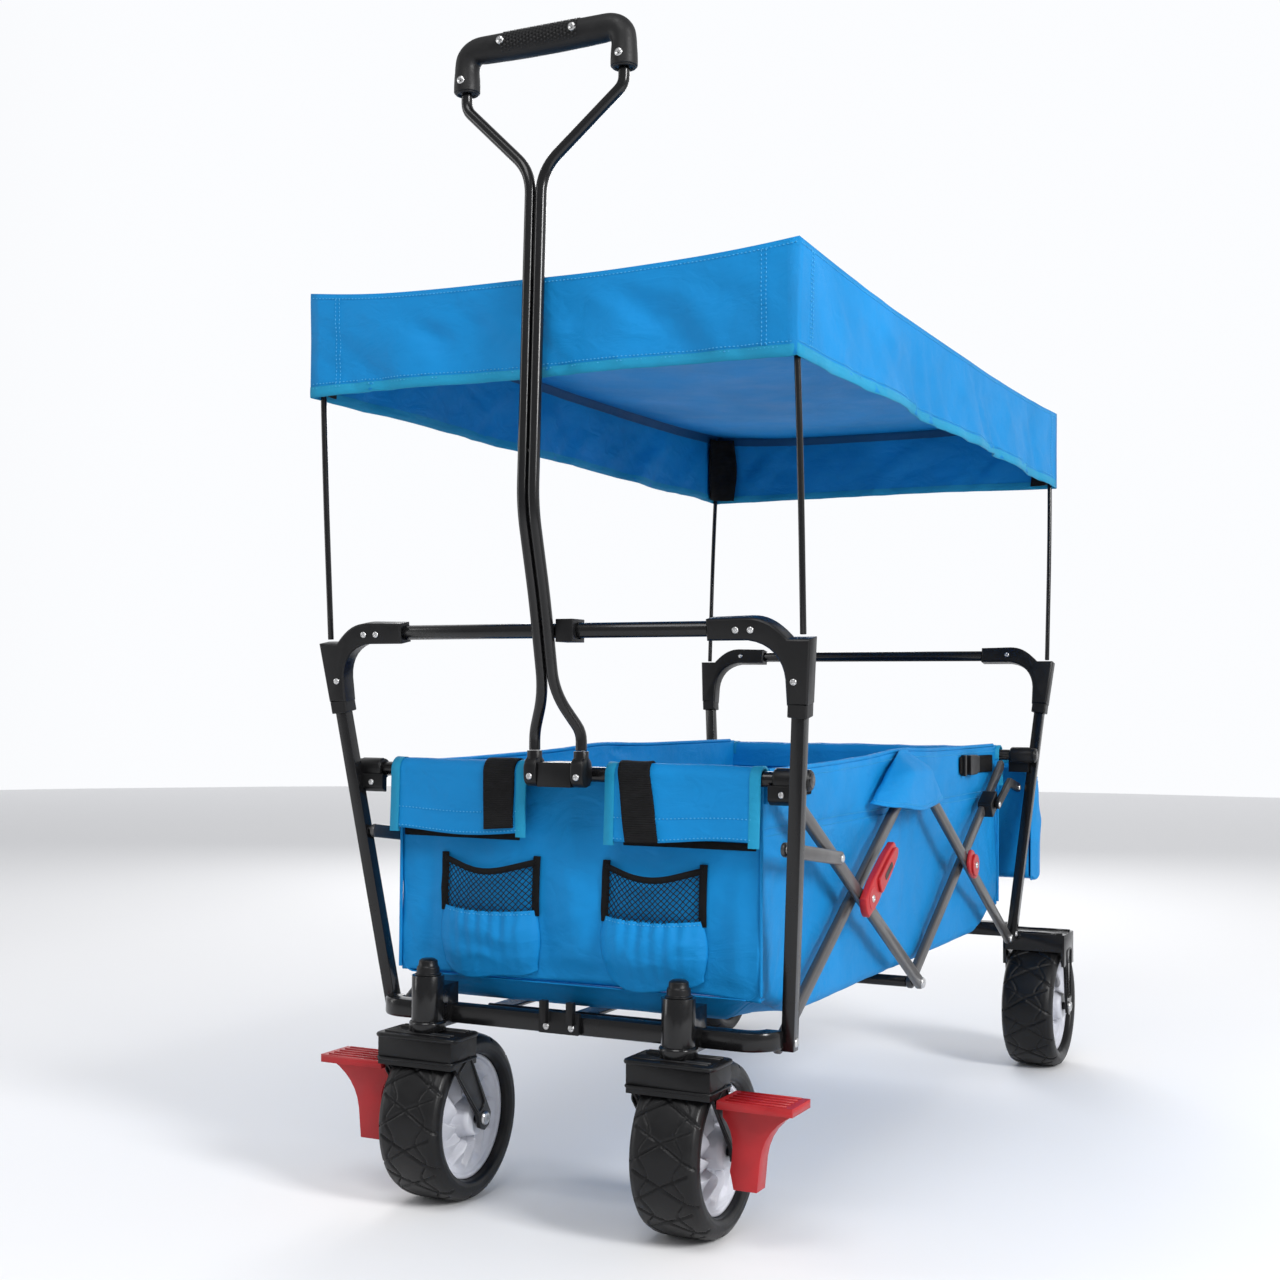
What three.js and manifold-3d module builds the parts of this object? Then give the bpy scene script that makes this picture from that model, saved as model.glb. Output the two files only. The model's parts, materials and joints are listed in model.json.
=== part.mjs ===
// Folding beach cart with a canopy: a double scissor frame on each side, fixed rear wheels,
// braked front casters, a hinged pull handle and a fabric tub.
// Millimetres. +Z is up, the pull handle is at -Y, and the ground is z = 0.
import * as THREE from "three";
import { mergeVertices } from "three/addons/utils/BufferGeometryUtils.js";
import Module from "manifold-3d";

const wasm = await Module();
wasm.setup();

// ---------------------------------------------------------------- driving dimensions
const GAP = 0.3; // between pieces that touch
const MIDDLE_Y = 10.8; // middle of the whole cart's length, measured from the scissors' centre

const WHEEL = { radius: 90, width: 75, rimRadius: 67, boreRadius: 6 };

const CASTER = { x: 149, y: -527, trail: 45, stemRadius: 10 };
const HOUSING = { radius: 17.5, bottom: 189, top: 248 };
const REAR_WHEEL = { x: 271, y: 518 };
const FORK = { halfWidth: 46, sheet: 4.5, roof: 181, top: 187, skirt: 153, depth: 52, boss: 13 };

// Side scissor: two crosses between the ground frames, one tube in each plane.
const SCISSOR = { run: 455, low: 194, high: 451, inner: 228, outer: 239.5, thick: 9, tall: 16 };

// Square posts lean out and away from the tub.
const POST = { size: 14, foot: 190, head: 543, xFoot: 240, xHead: 274, frontFoot: -454, rearFoot: 472, yHead: 516 };
const PUSH_BAR = { radius: 8, rise: 76, halfLength: 181.7 };
const BRACKET_DEPTH = 22;

const RIM = { radius: 8, y: 485.5, z: 467, halfLength: 276 };
const RAIL = { halfWidth: 228, y: 490, size: 20, z: 203, corner: 24 };
const FLOOR = { hingeY: 452, z: 205, barWidth: 26, barThick: 4, tip: 12, spacing: 104, stagger: 32 };

const TUB = { halfWidth: 221.5, sheet: 3.5, floor: 209, top: 466, halfLength: 440, panelHalf: 214, panelFoot: 214 };
const APRON = { outer: 13.5, inner: 8.8, drop: 69, cutout: 52 };
const POCKET = { low: 250, high: 372, near: 42, far: 160, bulge: 8 };
const BAG = { halfWidth: 262, front: 518, rear: 588, low: 278, high: 450, sheet: 4 };

const CANOPY = { halfWidth: 290, halfLength: 565, top: 995, hem: 880, sheet: 4 };
const POLE = { radius: 3.5, xFoot: 281.5, yFoot: 529, foot: 611.5, xTip: 280, yTip: 556, tip: 986, bow: 2 };

const HANDLE = { radius: 6, pivotY: -512, pivotZ: 466, footX: 28, twinX: 6.4, gripX: 94, gripZ: 1193 };
const GRIP = { radius: 14, top: 1238, lean: -555 };

// ---------------------------------------------------------------- materials
function material(color, roughness, metalness) {
  return new THREE.MeshStandardMaterial({ color, roughness, metalness });
}
const frameBlack = material(0x0b0b0d, 0.22, 0.6);
const scissorGrey = material(0x5c5856, 0.38, 0.6);
const plasticBlack = material(0x111214, 0.5, 0);
const plasticRed = material(0xa8242b, 0.42, 0);
const tyreBlack = material(0x17181a, 0.75, 0);
const rimGrey = material(0xc6c8d0, 0.45, 0);
const fabricBlue = material(0x1e8ad6, 0.85, 0);
const gripBlack = material(0x25272c, 0.7, 0);

// ---------------------------------------------------------------- solids
// A closed geometry as a manifold-3d solid.
function solid(geometry) {
  const bare = geometry.clone();
  bare.deleteAttribute("normal");
  bare.deleteAttribute("uv");
  const merged = mergeVertices(bare, 1e-3);
  return new wasm.Manifold(
    new wasm.Mesh({
      numProp: 3,
      vertProperties: merged.attributes.position.array,
      triVerts: new Uint32Array(merged.index.array),
    }),
  );
}

function geometryOf(manifold) {
  const mesh = manifold.getMesh();
  const geometry = new THREE.BufferGeometry();
  geometry.setAttribute("position", new THREE.BufferAttribute(mesh.vertProperties, 3));
  geometry.setIndex(new THREE.BufferAttribute(mesh.triVerts, 1));
  return geometry.toNonIndexed();
}

function join(...geometries) {
  return geometryOf(geometries.map(solid).reduce((whole, piece) => whole.add(piece)));
}

function cut(body, ...tools) {
  return geometryOf(tools.map(solid).reduce((whole, tool) => whole.subtract(tool), solid(body)));
}

function box(x, y, z) {
  const geometry = new THREE.BoxGeometry(x[1] - x[0], y[1] - y[0], z[1] - z[0]);
  return geometry.translate((x[0] + x[1]) / 2, (y[0] + y[1]) / 2, (z[0] + z[1]) / 2);
}

// A straight round rod from one point to another.
function rod(from, to, radius, sides = 16) {
  const start = new THREE.Vector3(...from);
  const along = new THREE.Vector3(...to).sub(start);
  const geometry = new THREE.CylinderGeometry(radius, radius, along.length(), sides);
  const turn = new THREE.Quaternion().setFromUnitVectors(new THREE.Vector3(0, 1, 0), along.clone().normalize());
  return geometry.applyQuaternion(turn).translate(...start.addScaledVector(along, 0.5).toArray());
}

// A shape drawn in (y, z) and extruded across x, centred on the plane x = middle.
function plate(shape, thickness, middle, bevel = 0) {
  const geometry = new THREE.ExtrudeGeometry(shape, {
    depth: thickness - 2 * bevel,
    bevelEnabled: bevel > 0,
    bevelThickness: bevel,
    bevelSize: bevel,
    bevelOffset: -bevel,
    bevelSegments: 2,
    curveSegments: 6,
  });
  geometry.translate(0, 0, -(thickness - 2 * bevel) / 2);
  // The shape's own x and y become y and z, and its depth becomes x.
  const axes = new THREE.Matrix4().set(0, 0, 1, middle, 1, 0, 0, 0, 0, 1, 0, 0, 0, 0, 0, 1);
  return geometry.applyMatrix4(axes);
}

// A bar of the given width with round ends, between two points of a plane.
function stadium([ay, az], [by, bz], width) {
  const angle = Math.atan2(bz - az, by - ay);
  const shape = new THREE.Shape();
  shape.absarc(by, bz, width / 2, angle - Math.PI / 2, angle + Math.PI / 2, false);
  shape.absarc(ay, az, width / 2, angle + Math.PI / 2, angle + (3 * Math.PI) / 2, false);
  shape.closePath();
  return shape;
}

function polygon(points) {
  return new THREE.Shape(points.map(([a, b]) => new THREE.Vector2(a, b)));
}

// A path of straight runs with a rounded bend at each inner point.
function bentPath(points, bend) {
  const p = points.map((point) => new THREE.Vector3(...point));
  const path = new THREE.CurvePath();
  let start = p[0];
  for (let i = 1; i < p.length - 1; i += 1) {
    const before = p[i - 1].clone().sub(p[i]);
    const after = p[i + 1].clone().sub(p[i]);
    const reach = Math.min(bend, before.length() / 2.05, after.length() / 2.05);
    const enter = p[i].clone().addScaledVector(before.normalize(), reach);
    const leave = p[i].clone().addScaledVector(after.normalize(), reach);
    path.add(new THREE.LineCurve3(start, enter));
    path.add(new THREE.QuadraticBezierCurve3(enter, p[i], leave));
    start = leave;
  }
  path.add(new THREE.LineCurve3(start, p.at(-1)));
  return path;
}

// A round tube with bends of the given reach.
function bentTube(points, bend, radius, steps, sides = 10) {
  const section = new THREE.Shape();
  section.absarc(0, 0, radius, 0, 2 * Math.PI, false);
  return new THREE.ExtrudeGeometry(section, {
    steps,
    extrudePath: bentPath(points, bend),
    bevelEnabled: false,
    curveSegments: sides / 2,
  });
}

// Adds a mesh to the cart under its node name.
const cart = new THREE.Group();
function add(name, geometry, look) {
  const mesh = new THREE.Mesh(geometry, look);
  mesh.name = name;
  cart.add(mesh);
  return mesh;
}

// Mirrors a geometry across the plane x = 0 and keeps its faces pointing out.
function mirrored(geometry) {
  const flat = geometry.index ? geometry.toNonIndexed() : geometry.clone();
  flat.deleteAttribute("normal");
  flat.deleteAttribute("uv");
  flat.scale(-1, 1, 1);
  const p = flat.attributes.position;
  for (let i = 0; i < p.count; i += 3) {
    const a = new THREE.Vector3().fromBufferAttribute(p, i + 1);
    const b = new THREE.Vector3().fromBufferAttribute(p, i + 2);
    p.setXYZ(i + 1, b.x, b.y, b.z);
    p.setXYZ(i + 2, a.x, a.y, a.z);
  }
  return flat;
}

// Adds a right-hand piece and its mirror image on the left.
function addPair(name, geometry, look) {
  add(name + "_right", geometry, look);
  add(name + "_left", mirrored(geometry), look);
}

// ---------------------------------------------------------------- wheels
// Profile points are (radius, offset along the axle).
function turned(points, segments = 24) {
  const lathe = new THREE.LatheGeometry(points.map(([r, a]) => new THREE.Vector2(r, a)), segments);
  return lathe.rotateZ(-Math.PI / 2);
}

function tyreGeometry() {
  const { radius, width, rimRadius } = WHEEL;
  const half = width / 2;
  return turned([
    [rimRadius + GAP, -half + 6],
    [rimRadius + 5, -half],
    [radius - 10, -half],
    [radius - 3, -half + 6],
    [radius, -half + 16],
    [radius, half - 16],
    [radius - 3, half - 6],
    [radius - 10, half],
    [rimRadius + 5, half],
    [rimRadius + GAP, half - 6],
    [rimRadius + GAP, -half + 6],
  ]);
}

function rimGeometry() {
  const { rimRadius, width, boreRadius } = WHEEL;
  const half = width / 2 - 4;
  const dish = 14;
  const hub = 17;
  return turned([
    [boreRadius, -half - 3],
    [hub, -half - 3],
    [hub + 3, -half + dish],
    [rimRadius - 10, -half + dish],
    [rimRadius - 4, -half],
    [rimRadius, -half],
    [rimRadius, half],
    [rimRadius - 4, half],
    [rimRadius - 10, half - dish],
    [hub + 3, half - dish],
    [hub, half + 3],
    [boreRadius, half + 3],
    [boreRadius, -half - 3],
  ]);
}

function addWheel(name, x, y) {
  const spin = new THREE.Group();
  spin.position.set(x, y, WHEEL.radius);
  cart.add(spin);
  for (const [part, geometry, look] of [
    ["tyre", tyreGeometry(), tyreBlack],
    ["rim", rimGeometry(), rimGrey],
  ]) {
    const mesh = new THREE.Mesh(geometry, look);
    mesh.name = part + "_" + name;
    spin.add(mesh);
  }
}

// ---------------------------------------------------------------- forks
// A hooded fork: a hollow head over the tyre, and two arms down to the axle.
// head: y range of the hood; wheelY: axle position; skirt, roofTop: heights of the hood's front edge and upper face.
function forkGeometry(x, head, wheelY, skirt, roofTop) {
  const inside = FORK.halfWidth - FORK.sheet;
  const hood = cut(
    box([-FORK.halfWidth, FORK.halfWidth], head, [FORK.skirt, roofTop]),
    box([-inside, inside], [head[0] + FORK.sheet, head[1] + 1], [FORK.skirt - 1, FORK.roof]),
    box([-inside, inside], [head[0] - 1, head[1] + 1], [FORK.skirt - 1, skirt]),
  );
  const middle = (head[0] + head[1]) / 2;
  const arm = polygon([
    [middle - 19, FORK.skirt + 4],
    [wheelY - FORK.boss, WHEEL.radius + 4],
    [wheelY - 9, WHEEL.radius - 9],
    [wheelY, WHEEL.radius - FORK.boss],
    [wheelY + 9, WHEEL.radius - 9],
    [wheelY + FORK.boss, WHEEL.radius + 4],
    [middle + 19, FORK.skirt + 4],
  ]);
  const armMiddle = FORK.halfWidth - FORK.sheet / 2;
  const axle = rod([-inside - 1, wheelY, WHEEL.radius], [inside + 1, wheelY, WHEEL.radius], WHEEL.boreRadius - 0.5);
  return join(hood, plate(arm, FORK.sheet, armMiddle), plate(arm, FORK.sheet, -armMiddle), axle).translate(x, 0, 0);
}

function casterForkGeometry() {
  const head = [CASTER.y - FORK.depth / 2, CASTER.y + FORK.depth / 2];
  const fork = forkGeometry(CASTER.x, head, CASTER.y + CASTER.trail, FORK.skirt, FORK.top);
  const stem = rod([CASTER.x, CASTER.y, FORK.top - 1], [CASTER.x, CASTER.y, HOUSING.top + 8], CASTER.stemRadius);
  return join(fork, stem);
}

const REAR_SKIRT = 174;
const REAR_FORK_TOP = 200;

function rearForkGeometry(side) {
  const head = [REAR_WHEEL.y - 36, REAR_WHEEL.y + 28];
  return forkGeometry(side * REAR_WHEEL.x, head, REAR_WHEEL.y, REAR_SKIRT, REAR_FORK_TOP);
}

// Foot brake: a tread plate beside the caster on a curved stem with a toe at the hub.
function brakeGeometry() {
  const x = CASTER.x + FORK.halfWidth + 2.5;
  const outline = new THREE.Shape();
  outline.moveTo(x, 153);
  outline.lineTo(x + 78, 153);
  outline.lineTo(x + 78, 145);
  outline.quadraticCurveTo(x + 44, 128, x + 40, 96);
  outline.lineTo(x + 37, 64);
  outline.lineTo(x + 12, 64);
  outline.lineTo(x + 8, 82);
  outline.quadraticCurveTo(x + 16, 120, x, 134);
  outline.closePath();
  const stem = new THREE.ExtrudeGeometry(outline, { depth: 22, bevelEnabled: false, curveSegments: 6 });
  stem.rotateX(Math.PI / 2).translate(0, CASTER.y + 22, 0);
  const tread = box([x, x + 80], [CASTER.y - 16, CASTER.y + 34], [145, 153.5]);
  return join(stem, tread);
}

// ---------------------------------------------------------------- uprights
// end is -1 at the front and +1 at the rear.
function postLine(end) {
  const footY = end < 0 ? POST.frontFoot : POST.rearFoot;
  return {
    foot: new THREE.Vector3(POST.xFoot, footY, POST.foot),
    head: new THREE.Vector3(POST.xHead, end * POST.yHead, POST.head - 2.2),
  };
}

function postGeometry(end) {
  const { foot, head } = postLine(end);
  const half = POST.size / 2;
  const ring = [[-half, -half], [half, -half], [half, half], [-half, half]];
  const corners = [foot, head].flatMap((p) => ring.map(([dx, dy]) => [p.x + dx, p.y + dy, p.z]));
  const faces = [0, 2, 1, 0, 3, 2, 4, 5, 6, 4, 6, 7, 0, 1, 5, 0, 5, 4, 1, 2, 6, 1, 6, 5, 2, 3, 7, 2, 7, 6, 3, 0, 4, 3, 4, 7];
  const geometry = new THREE.BufferGeometry();
  geometry.setAttribute("position", new THREE.Float32BufferAttribute(faces.flatMap((i) => corners[i]), 3));
  return geometry;
}

// Everything above the posts lies in a plane that leans out by the posts' own slope.
function leaning(geometry, end) {
  const slope = Math.atan2(POST.yHead - Math.abs(POST.frontFoot), POST.head - POST.foot);
  return geometry.rotateX(-end * slope).translate(0, end * POST.yHead, POST.head + GAP);
}

// Moulded corner: rises from the post, carries the canopy pole on a flat, and turns in to the push bar.
function cornerBracketGeometry(end) {
  const x = POST.xHead;
  const inner = PUSH_BAR.halfLength + GAP;
  const outline = new THREE.Shape();
  outline.moveTo(x - 11, 0);
  outline.lineTo(x + 11, 0);
  outline.lineTo(x + 18, 66);
  outline.lineTo(x - 6, 66);
  outline.bezierCurveTo(x - 22, 84, x - 34, 88, x - 48, 88);
  outline.lineTo(inner, 87);
  outline.lineTo(inner, 65);
  outline.lineTo(x - 48, 65);
  outline.bezierCurveTo(x - 24, 62, x - 12, 46, x - 11, 26);
  outline.closePath();
  const geometry = new THREE.ExtrudeGeometry(outline, {
    depth: BRACKET_DEPTH - 4,
    bevelEnabled: true,
    bevelThickness: 2,
    bevelSize: 2,
    bevelOffset: -2,
    bevelSegments: 1,
    curveSegments: 8,
  });
  geometry.rotateX(Math.PI / 2).translate(0, BRACKET_DEPTH / 2 - 2, 0);
  return leaning(geometry, end);
}

function pushBarGeometry(end) {
  const { halfLength, rise, radius } = PUSH_BAR;
  return leaning(rod([-halfLength, 0, rise], [halfLength, 0, rise], radius), end);
}

function poleGeometry(end) {
  const { xFoot, yFoot, foot, xTip, yTip, tip, bow, radius } = POLE;
  const points = [
    [xFoot, end * yFoot, foot],
    [(xFoot + xTip) / 2 + bow, (end * (yFoot + yTip)) / 2, (foot + tip) / 2],
    [xTip, end * yTip, tip],
  ];
  return bentTube(points, 150, radius, 8, 8);
}

function addUpright(end, place) {
  addPair("post_" + place, postGeometry(end), frameBlack);
  addPair("corner_bracket_" + place, cornerBracketGeometry(end), plasticBlack);
  addPair("canopy_pole_" + place, poleGeometry(end), frameBlack);
  add("push_bar_" + place, pushBarGeometry(end), frameBlack);
  const rimEnds = [-RIM.halfLength, RIM.halfLength];
  const rim = rod([rimEnds[0], end * RIM.y, RIM.z], [rimEnds[1], end * RIM.y, RIM.z], RIM.radius);
  add("rim_tube_" + place, rim, frameBlack);
}

// ---------------------------------------------------------------- ground frames
// Tabs that carry the hinge rod of the floor bars.
function floorTabs(end) {
  return [-1, 0, 1].map((n) => {
    const middle = n * FLOOR.spacing + (end > 0 ? FLOOR.stagger : 0);
    const y = [end * (RAIL.y - 6), end * (FLOOR.hingeY + 4.5)].sort((a, b) => a - b);
    return box([middle - FLOOR.barWidth / 2, middle + FLOOR.barWidth / 2], y, [FLOOR.z - 6, FLOOR.z + 2]);
  });
}

function frontBaseGeometry() {
  const half = RAIL.size / 2;
  const outer = RAIL.halfWidth + half;
  const inner = RAIL.halfWidth - half;
  const front = -RAIL.y;
  const end = front + RAIL.corner;
  const outline = new THREE.Shape();
  outline.moveTo(-outer, end);
  outline.absarc(-RAIL.halfWidth + RAIL.corner, end, RAIL.corner + half, Math.PI, 1.5 * Math.PI, false);
  outline.absarc(RAIL.halfWidth - RAIL.corner, end, RAIL.corner + half, 1.5 * Math.PI, 2 * Math.PI, false);
  outline.lineTo(inner, end);
  outline.absarc(RAIL.halfWidth - RAIL.corner, end, RAIL.corner - half, 0, -Math.PI / 2, true);
  outline.absarc(-RAIL.halfWidth + RAIL.corner, end, RAIL.corner - half, -Math.PI / 2, -Math.PI, true);
  outline.closePath();
  const bevel = 3;
  const rail = new THREE.ExtrudeGeometry(outline, {
    depth: RAIL.size - 2 * bevel,
    bevelEnabled: true,
    bevelThickness: bevel,
    bevelSize: bevel,
    bevelOffset: -bevel,
    bevelSegments: 2,
    curveSegments: 8,
  });
  rail.translate(0, 0, RAIL.z - half + bevel);
  const clear = CASTER.stemRadius + 0.5;
  const housings = [-CASTER.x, CASTER.x].map((x) =>
    cut(
      join(
        rod([x, CASTER.y, HOUSING.bottom], [x, CASTER.y, HOUSING.top], HOUSING.radius, 24),
        box([x - 13, x + 13], [CASTER.y, front + 4], [HOUSING.bottom + 2, HOUSING.top - 12]),
      ),
      rod([x, CASTER.y, HOUSING.bottom - 1], [x, CASTER.y, HOUSING.top + 1], clear, 20),
    ),
  );
  return join(rail, ...housings, ...floorTabs(-1));
}

// The rear rail carries a fixed fork welded to each end.
function rearBaseGeometry() {
  const reach = REAR_WHEEL.x - FORK.halfWidth + 2;
  const rail = box([-reach, reach], [RAIL.y - 8, RAIL.y + 12], [FLOOR.z - 12, FLOOR.z + 8]);
  return join(rail, ...floorTabs(1), rearForkGeometry(-1), rearForkGeometry(1));
}

// Three floor bars on a hinge rod; the free ends meet at the centre tube.
function floorBarsGeometry(end) {
  const offset = end > 0 ? FLOOR.stagger : 0;
  const wide = FLOOR.spacing + FLOOR.barWidth / 2;
  const y = end * FLOOR.hingeY;
  const hinge = rod([offset - wide, y, FLOOR.z], [offset + wide, y, FLOOR.z], 4, 12);
  const span = [y, end * FLOOR.tip].sort((a, b) => a - b);
  const bars = [-1, 0, 1].map((n) => {
    const middle = offset + n * FLOOR.spacing;
    const half = FLOOR.barWidth / 2;
    return box([middle - half, middle + half], span, [FLOOR.z - FLOOR.barThick / 2, FLOOR.z + FLOOR.barThick / 2]);
  });
  return join(hinge, ...bars);
}

// ---------------------------------------------------------------- scissors and links
const { run, low, high } = SCISSOR;
const crossing = (low + high) / 2;
const ARMS = {
  front_up: { from: [-run, low], to: [0, high], plane: SCISSOR.inner },
  front_down: { from: [0, low], to: [-run, high], plane: SCISSOR.outer },
  rear_up: { from: [0, low], to: [run, high], plane: SCISSOR.inner },
  rear_down: { from: [0, high], to: [run, low], plane: SCISSOR.outer },
};

function addScissors() {
  for (const [name, { from, to, plane }] of Object.entries(ARMS)) {
    const tube = plate(stadium(from, to, SCISSOR.tall), SCISSOR.thick, plane, 2.5);
    addPair("scissor_" + name, tube, scissorGrey);
  }
}

const LINK_PLANE = SCISSOR.outer + SCISSOR.thick / 2 + 3.5;

// Front link: from the post down to the outer tube, which it meets a share of the way up.
function frontLinkGeometry() {
  const share = 0.7055;
  const pin = [-run * share, low + (high - low) * share];
  return plate(stadium([-488, 397], pin, 15), 5, LINK_PLANE, 1.2);
}

// Rear link: a bent bar from the post to the slide block on the inner tube.
function rearLinkGeometry() {
  const share = 0.797;
  const pin = [run * share, low + (high - low) * share];
  const elbow = [430, 428];
  return join(
    plate(stadium([484, 418], elbow, 13), 5, LINK_PLANE),
    plate(stadium(elbow, pin, 13), 5, LINK_PLANE),
    rod([SCISSOR.inner + 7, ...pin], [LINK_PLANE, ...pin], 4, 10),
  );
}

// Lock lever on the front crossing, lying along the inner tube's upper half.
function latchGeometry() {
  const middle = LINK_PLANE + 2;
  const angle = Math.atan2(high - low, run);
  const at = (distance, side) => [
    -run / 2 + distance * Math.cos(angle) - side * Math.sin(angle),
    crossing + distance * Math.sin(angle) + side * Math.cos(angle),
  ];
  const outline = new THREE.Shape();
  outline.moveTo(...at(-20, -12));
  outline.lineTo(...at(14, -16));
  outline.quadraticCurveTo(...at(45, -14), ...at(70, -6));
  outline.lineTo(...at(98, -8));
  outline.quadraticCurveTo(...at(106, 2), ...at(98, 12));
  outline.lineTo(...at(66, 16));
  outline.lineTo(...at(12, 17));
  outline.lineTo(...at(-20, 13));
  outline.quadraticCurveTo(...at(-27, 0), ...at(-20, -12));
  return plate(outline, 9, middle, 1.5);
}

// ---------------------------------------------------------------- handle
const FOOT_WIDTH = 15;
const PIN_RADIUS = 4;

function handleTubeGeometry() {
  const { pivotY, pivotZ, footX, twinX, gripX, gripZ, radius } = HANDLE;
  return bentTube(
    [
      [footX, pivotY, pivotZ + 26.5],
      [footX, pivotY, pivotZ + 46],
      [twinX, pivotY - 21, pivotZ + 88],
      [twinX, pivotY - 42, 650],
      [twinX, pivotY - 69, 745],
      [twinX, pivotY - 57, 1094],
      [gripX, pivotY - 43, 1176],
      [gripX, pivotY - 43, gripZ],
    ],
    22,
    radius,
    56,
    10,
  );
}

function gripGeometry() {
  const { gripX, gripZ } = HANDLE;
  const { radius, top, lean } = GRIP;
  const foot = gripZ + 1;
  return bentTube(
    [
      [-gripX, lean, foot],
      [-gripX, lean, top],
      [gripX, lean, top],
      [gripX, lean, foot],
    ],
    36,
    radius,
    30,
    12,
  );
}

// Two feet that hold the handle tubes, on one pivot pin.
function handleYokeGeometry() {
  const { pivotY, pivotZ, footX } = HANDLE;
  const feet = [-footX, footX].flatMap((x) => [
    plate(stadium([pivotY, pivotZ], [pivotY, pivotZ + 8], 24), FOOT_WIDTH, x, 2),
    rod([x, pivotY, pivotZ + 8], [x, pivotY, pivotZ + 26], 8, 16),
  ]);
  return join(rod([-footX, pivotY, pivotZ], [footX, pivotY, pivotZ], PIN_RADIUS, 16), ...feet);
}

// The block on the rim tube that carries the handle's pivots between its feet.
function handleMountGeometry() {
  const { pivotY, pivotZ, footX } = HANDLE;
  const reach = footX - FOOT_WIDTH / 2 - 2 * GAP;
  return cut(
    box([-reach, reach], [pivotY - 9, -RIM.y + 10], [pivotZ - 12, pivotZ + 14]),
    rod([-reach - 1, -RIM.y, RIM.z], [reach + 1, -RIM.y, RIM.z], RIM.radius + GAP, 20),
    rod([-reach - 1, pivotY, pivotZ], [reach + 1, pivotY, pivotZ], PIN_RADIUS + 2 * GAP, 20),
  );
}

// ---------------------------------------------------------------- small plastic pieces
function handleClipGeometry() {
  const barY = -POST.yHead - Math.sin(0.174) * PUSH_BAR.rise;
  const barZ = POST.head + Math.cos(0.174) * PUSH_BAR.rise;
  const body = box([14, 34], [barY - 16, barY + 11], [barZ - 12, barZ + 12]);
  return cut(body, rod([0, barY, barZ], [50, barY, barZ], PUSH_BAR.radius + 2 * GAP, 20));
}

function storageClipGeometry() {
  const face = -RAIL.y - RAIL.size / 2 - GAP;
  const base = box([-24, 24], [face - 5, face], [RAIL.z - 9, RAIL.z + 14]);
  const jaws = [-1, 1].map((side) => box([side * 16 - 4, side * 16 + 4], [face - 12, face - 4], [RAIL.z + 2, RAIL.z + 26]));
  return join(base, ...jaws);
}

function centreTubeGeometry() {
  const reach = SCISSOR.inner - SCISSOR.thick / 2 - GAP;
  const tube = rod([-reach, 0, low], [reach, 0, low], 7);
  const saddles = [-1, 0, 1].map((n) => box([n * FLOOR.spacing - 16, n * FLOOR.spacing + 48], [-12, 12], [low - 9, low + 8]));
  return join(tube, ...saddles);
}

// ---------------------------------------------------------------- fabric
// Cross-section of an end panel, in (y, z): an apron over the rim tube and a wall down to the floor.
function endPanelSection(end, apronDrop) {
  const y = -RIM.y;
  const shape = new THREE.Shape();
  shape.moveTo(y - APRON.outer, RIM.z - apronDrop);
  shape.lineTo(y - APRON.outer, RIM.z);
  shape.absarc(y, RIM.z, APRON.outer, Math.PI, 0, true);
  shape.lineTo(y + APRON.outer, TUB.panelFoot);
  shape.lineTo(y + APRON.inner, TUB.panelFoot);
  shape.lineTo(y + APRON.inner, RIM.z);
  shape.absarc(y, RIM.z, APRON.inner, 0, Math.PI, false);
  shape.lineTo(y - APRON.inner, RIM.z - apronDrop);
  shape.closePath();
  return shape;
}

function frontPanelGeometry() {
  const side = TUB.panelHalf - APRON.cutout;
  const middle = (TUB.panelHalf + APRON.cutout) / 2;
  const section = endPanelSection(-1, APRON.drop);
  const wallY = [-RIM.y + APRON.inner, -RIM.y + APRON.outer];
  const wall = box([-APRON.cutout - 1, APRON.cutout + 1], wallY, [TUB.panelFoot, RIM.z - 16]);
  const pockets = [-1, 1].map((s) => {
    const x = [s * POCKET.near, s * POCKET.far].sort((a, b) => a - b);
    return box(x, [wallY[0] - POCKET.bulge, wallY[0] + 1], [POCKET.low, POCKET.high]);
  });
  return join(plate(section, side, middle), plate(section, side, -middle), wall, ...pockets);
}

function rearPanelGeometry() {
  const section = endPanelSection(1, 40);
  return plate(section, 2 * TUB.panelHalf, 0).rotateZ(Math.PI);
}

// Side walls and floor, open at the top and at both ends.
function tubGeometry() {
  const outer = box([-TUB.halfWidth, TUB.halfWidth], [-TUB.halfLength, TUB.halfLength], [TUB.floor, TUB.top]);
  const inside = TUB.halfWidth - TUB.sheet;
  const room = box([-inside, inside], [-TUB.halfLength - 1, TUB.halfLength + 1], [TUB.floor + TUB.sheet, TUB.top + 1]);
  return cut(outer, room);
}

function bagGeometry() {
  const { halfWidth, front, rear, low: base, high: mouth, sheet } = BAG;
  return cut(
    box([-halfWidth, halfWidth], [front, rear], [base, mouth]),
    box([-halfWidth + sheet, halfWidth - sheet], [front + sheet, rear - sheet], [base + sheet, mouth + 1]),
  );
}

function canopyGeometry() {
  const { halfWidth, halfLength, top, hem, sheet } = CANOPY;
  return cut(
    box([-halfWidth, halfWidth], [-halfLength, halfLength], [hem, top]),
    box([-halfWidth + sheet, halfWidth - sheet], [-halfLength + sheet, halfLength - sheet], [hem - 1, top - sheet]),
  );
}

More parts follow.
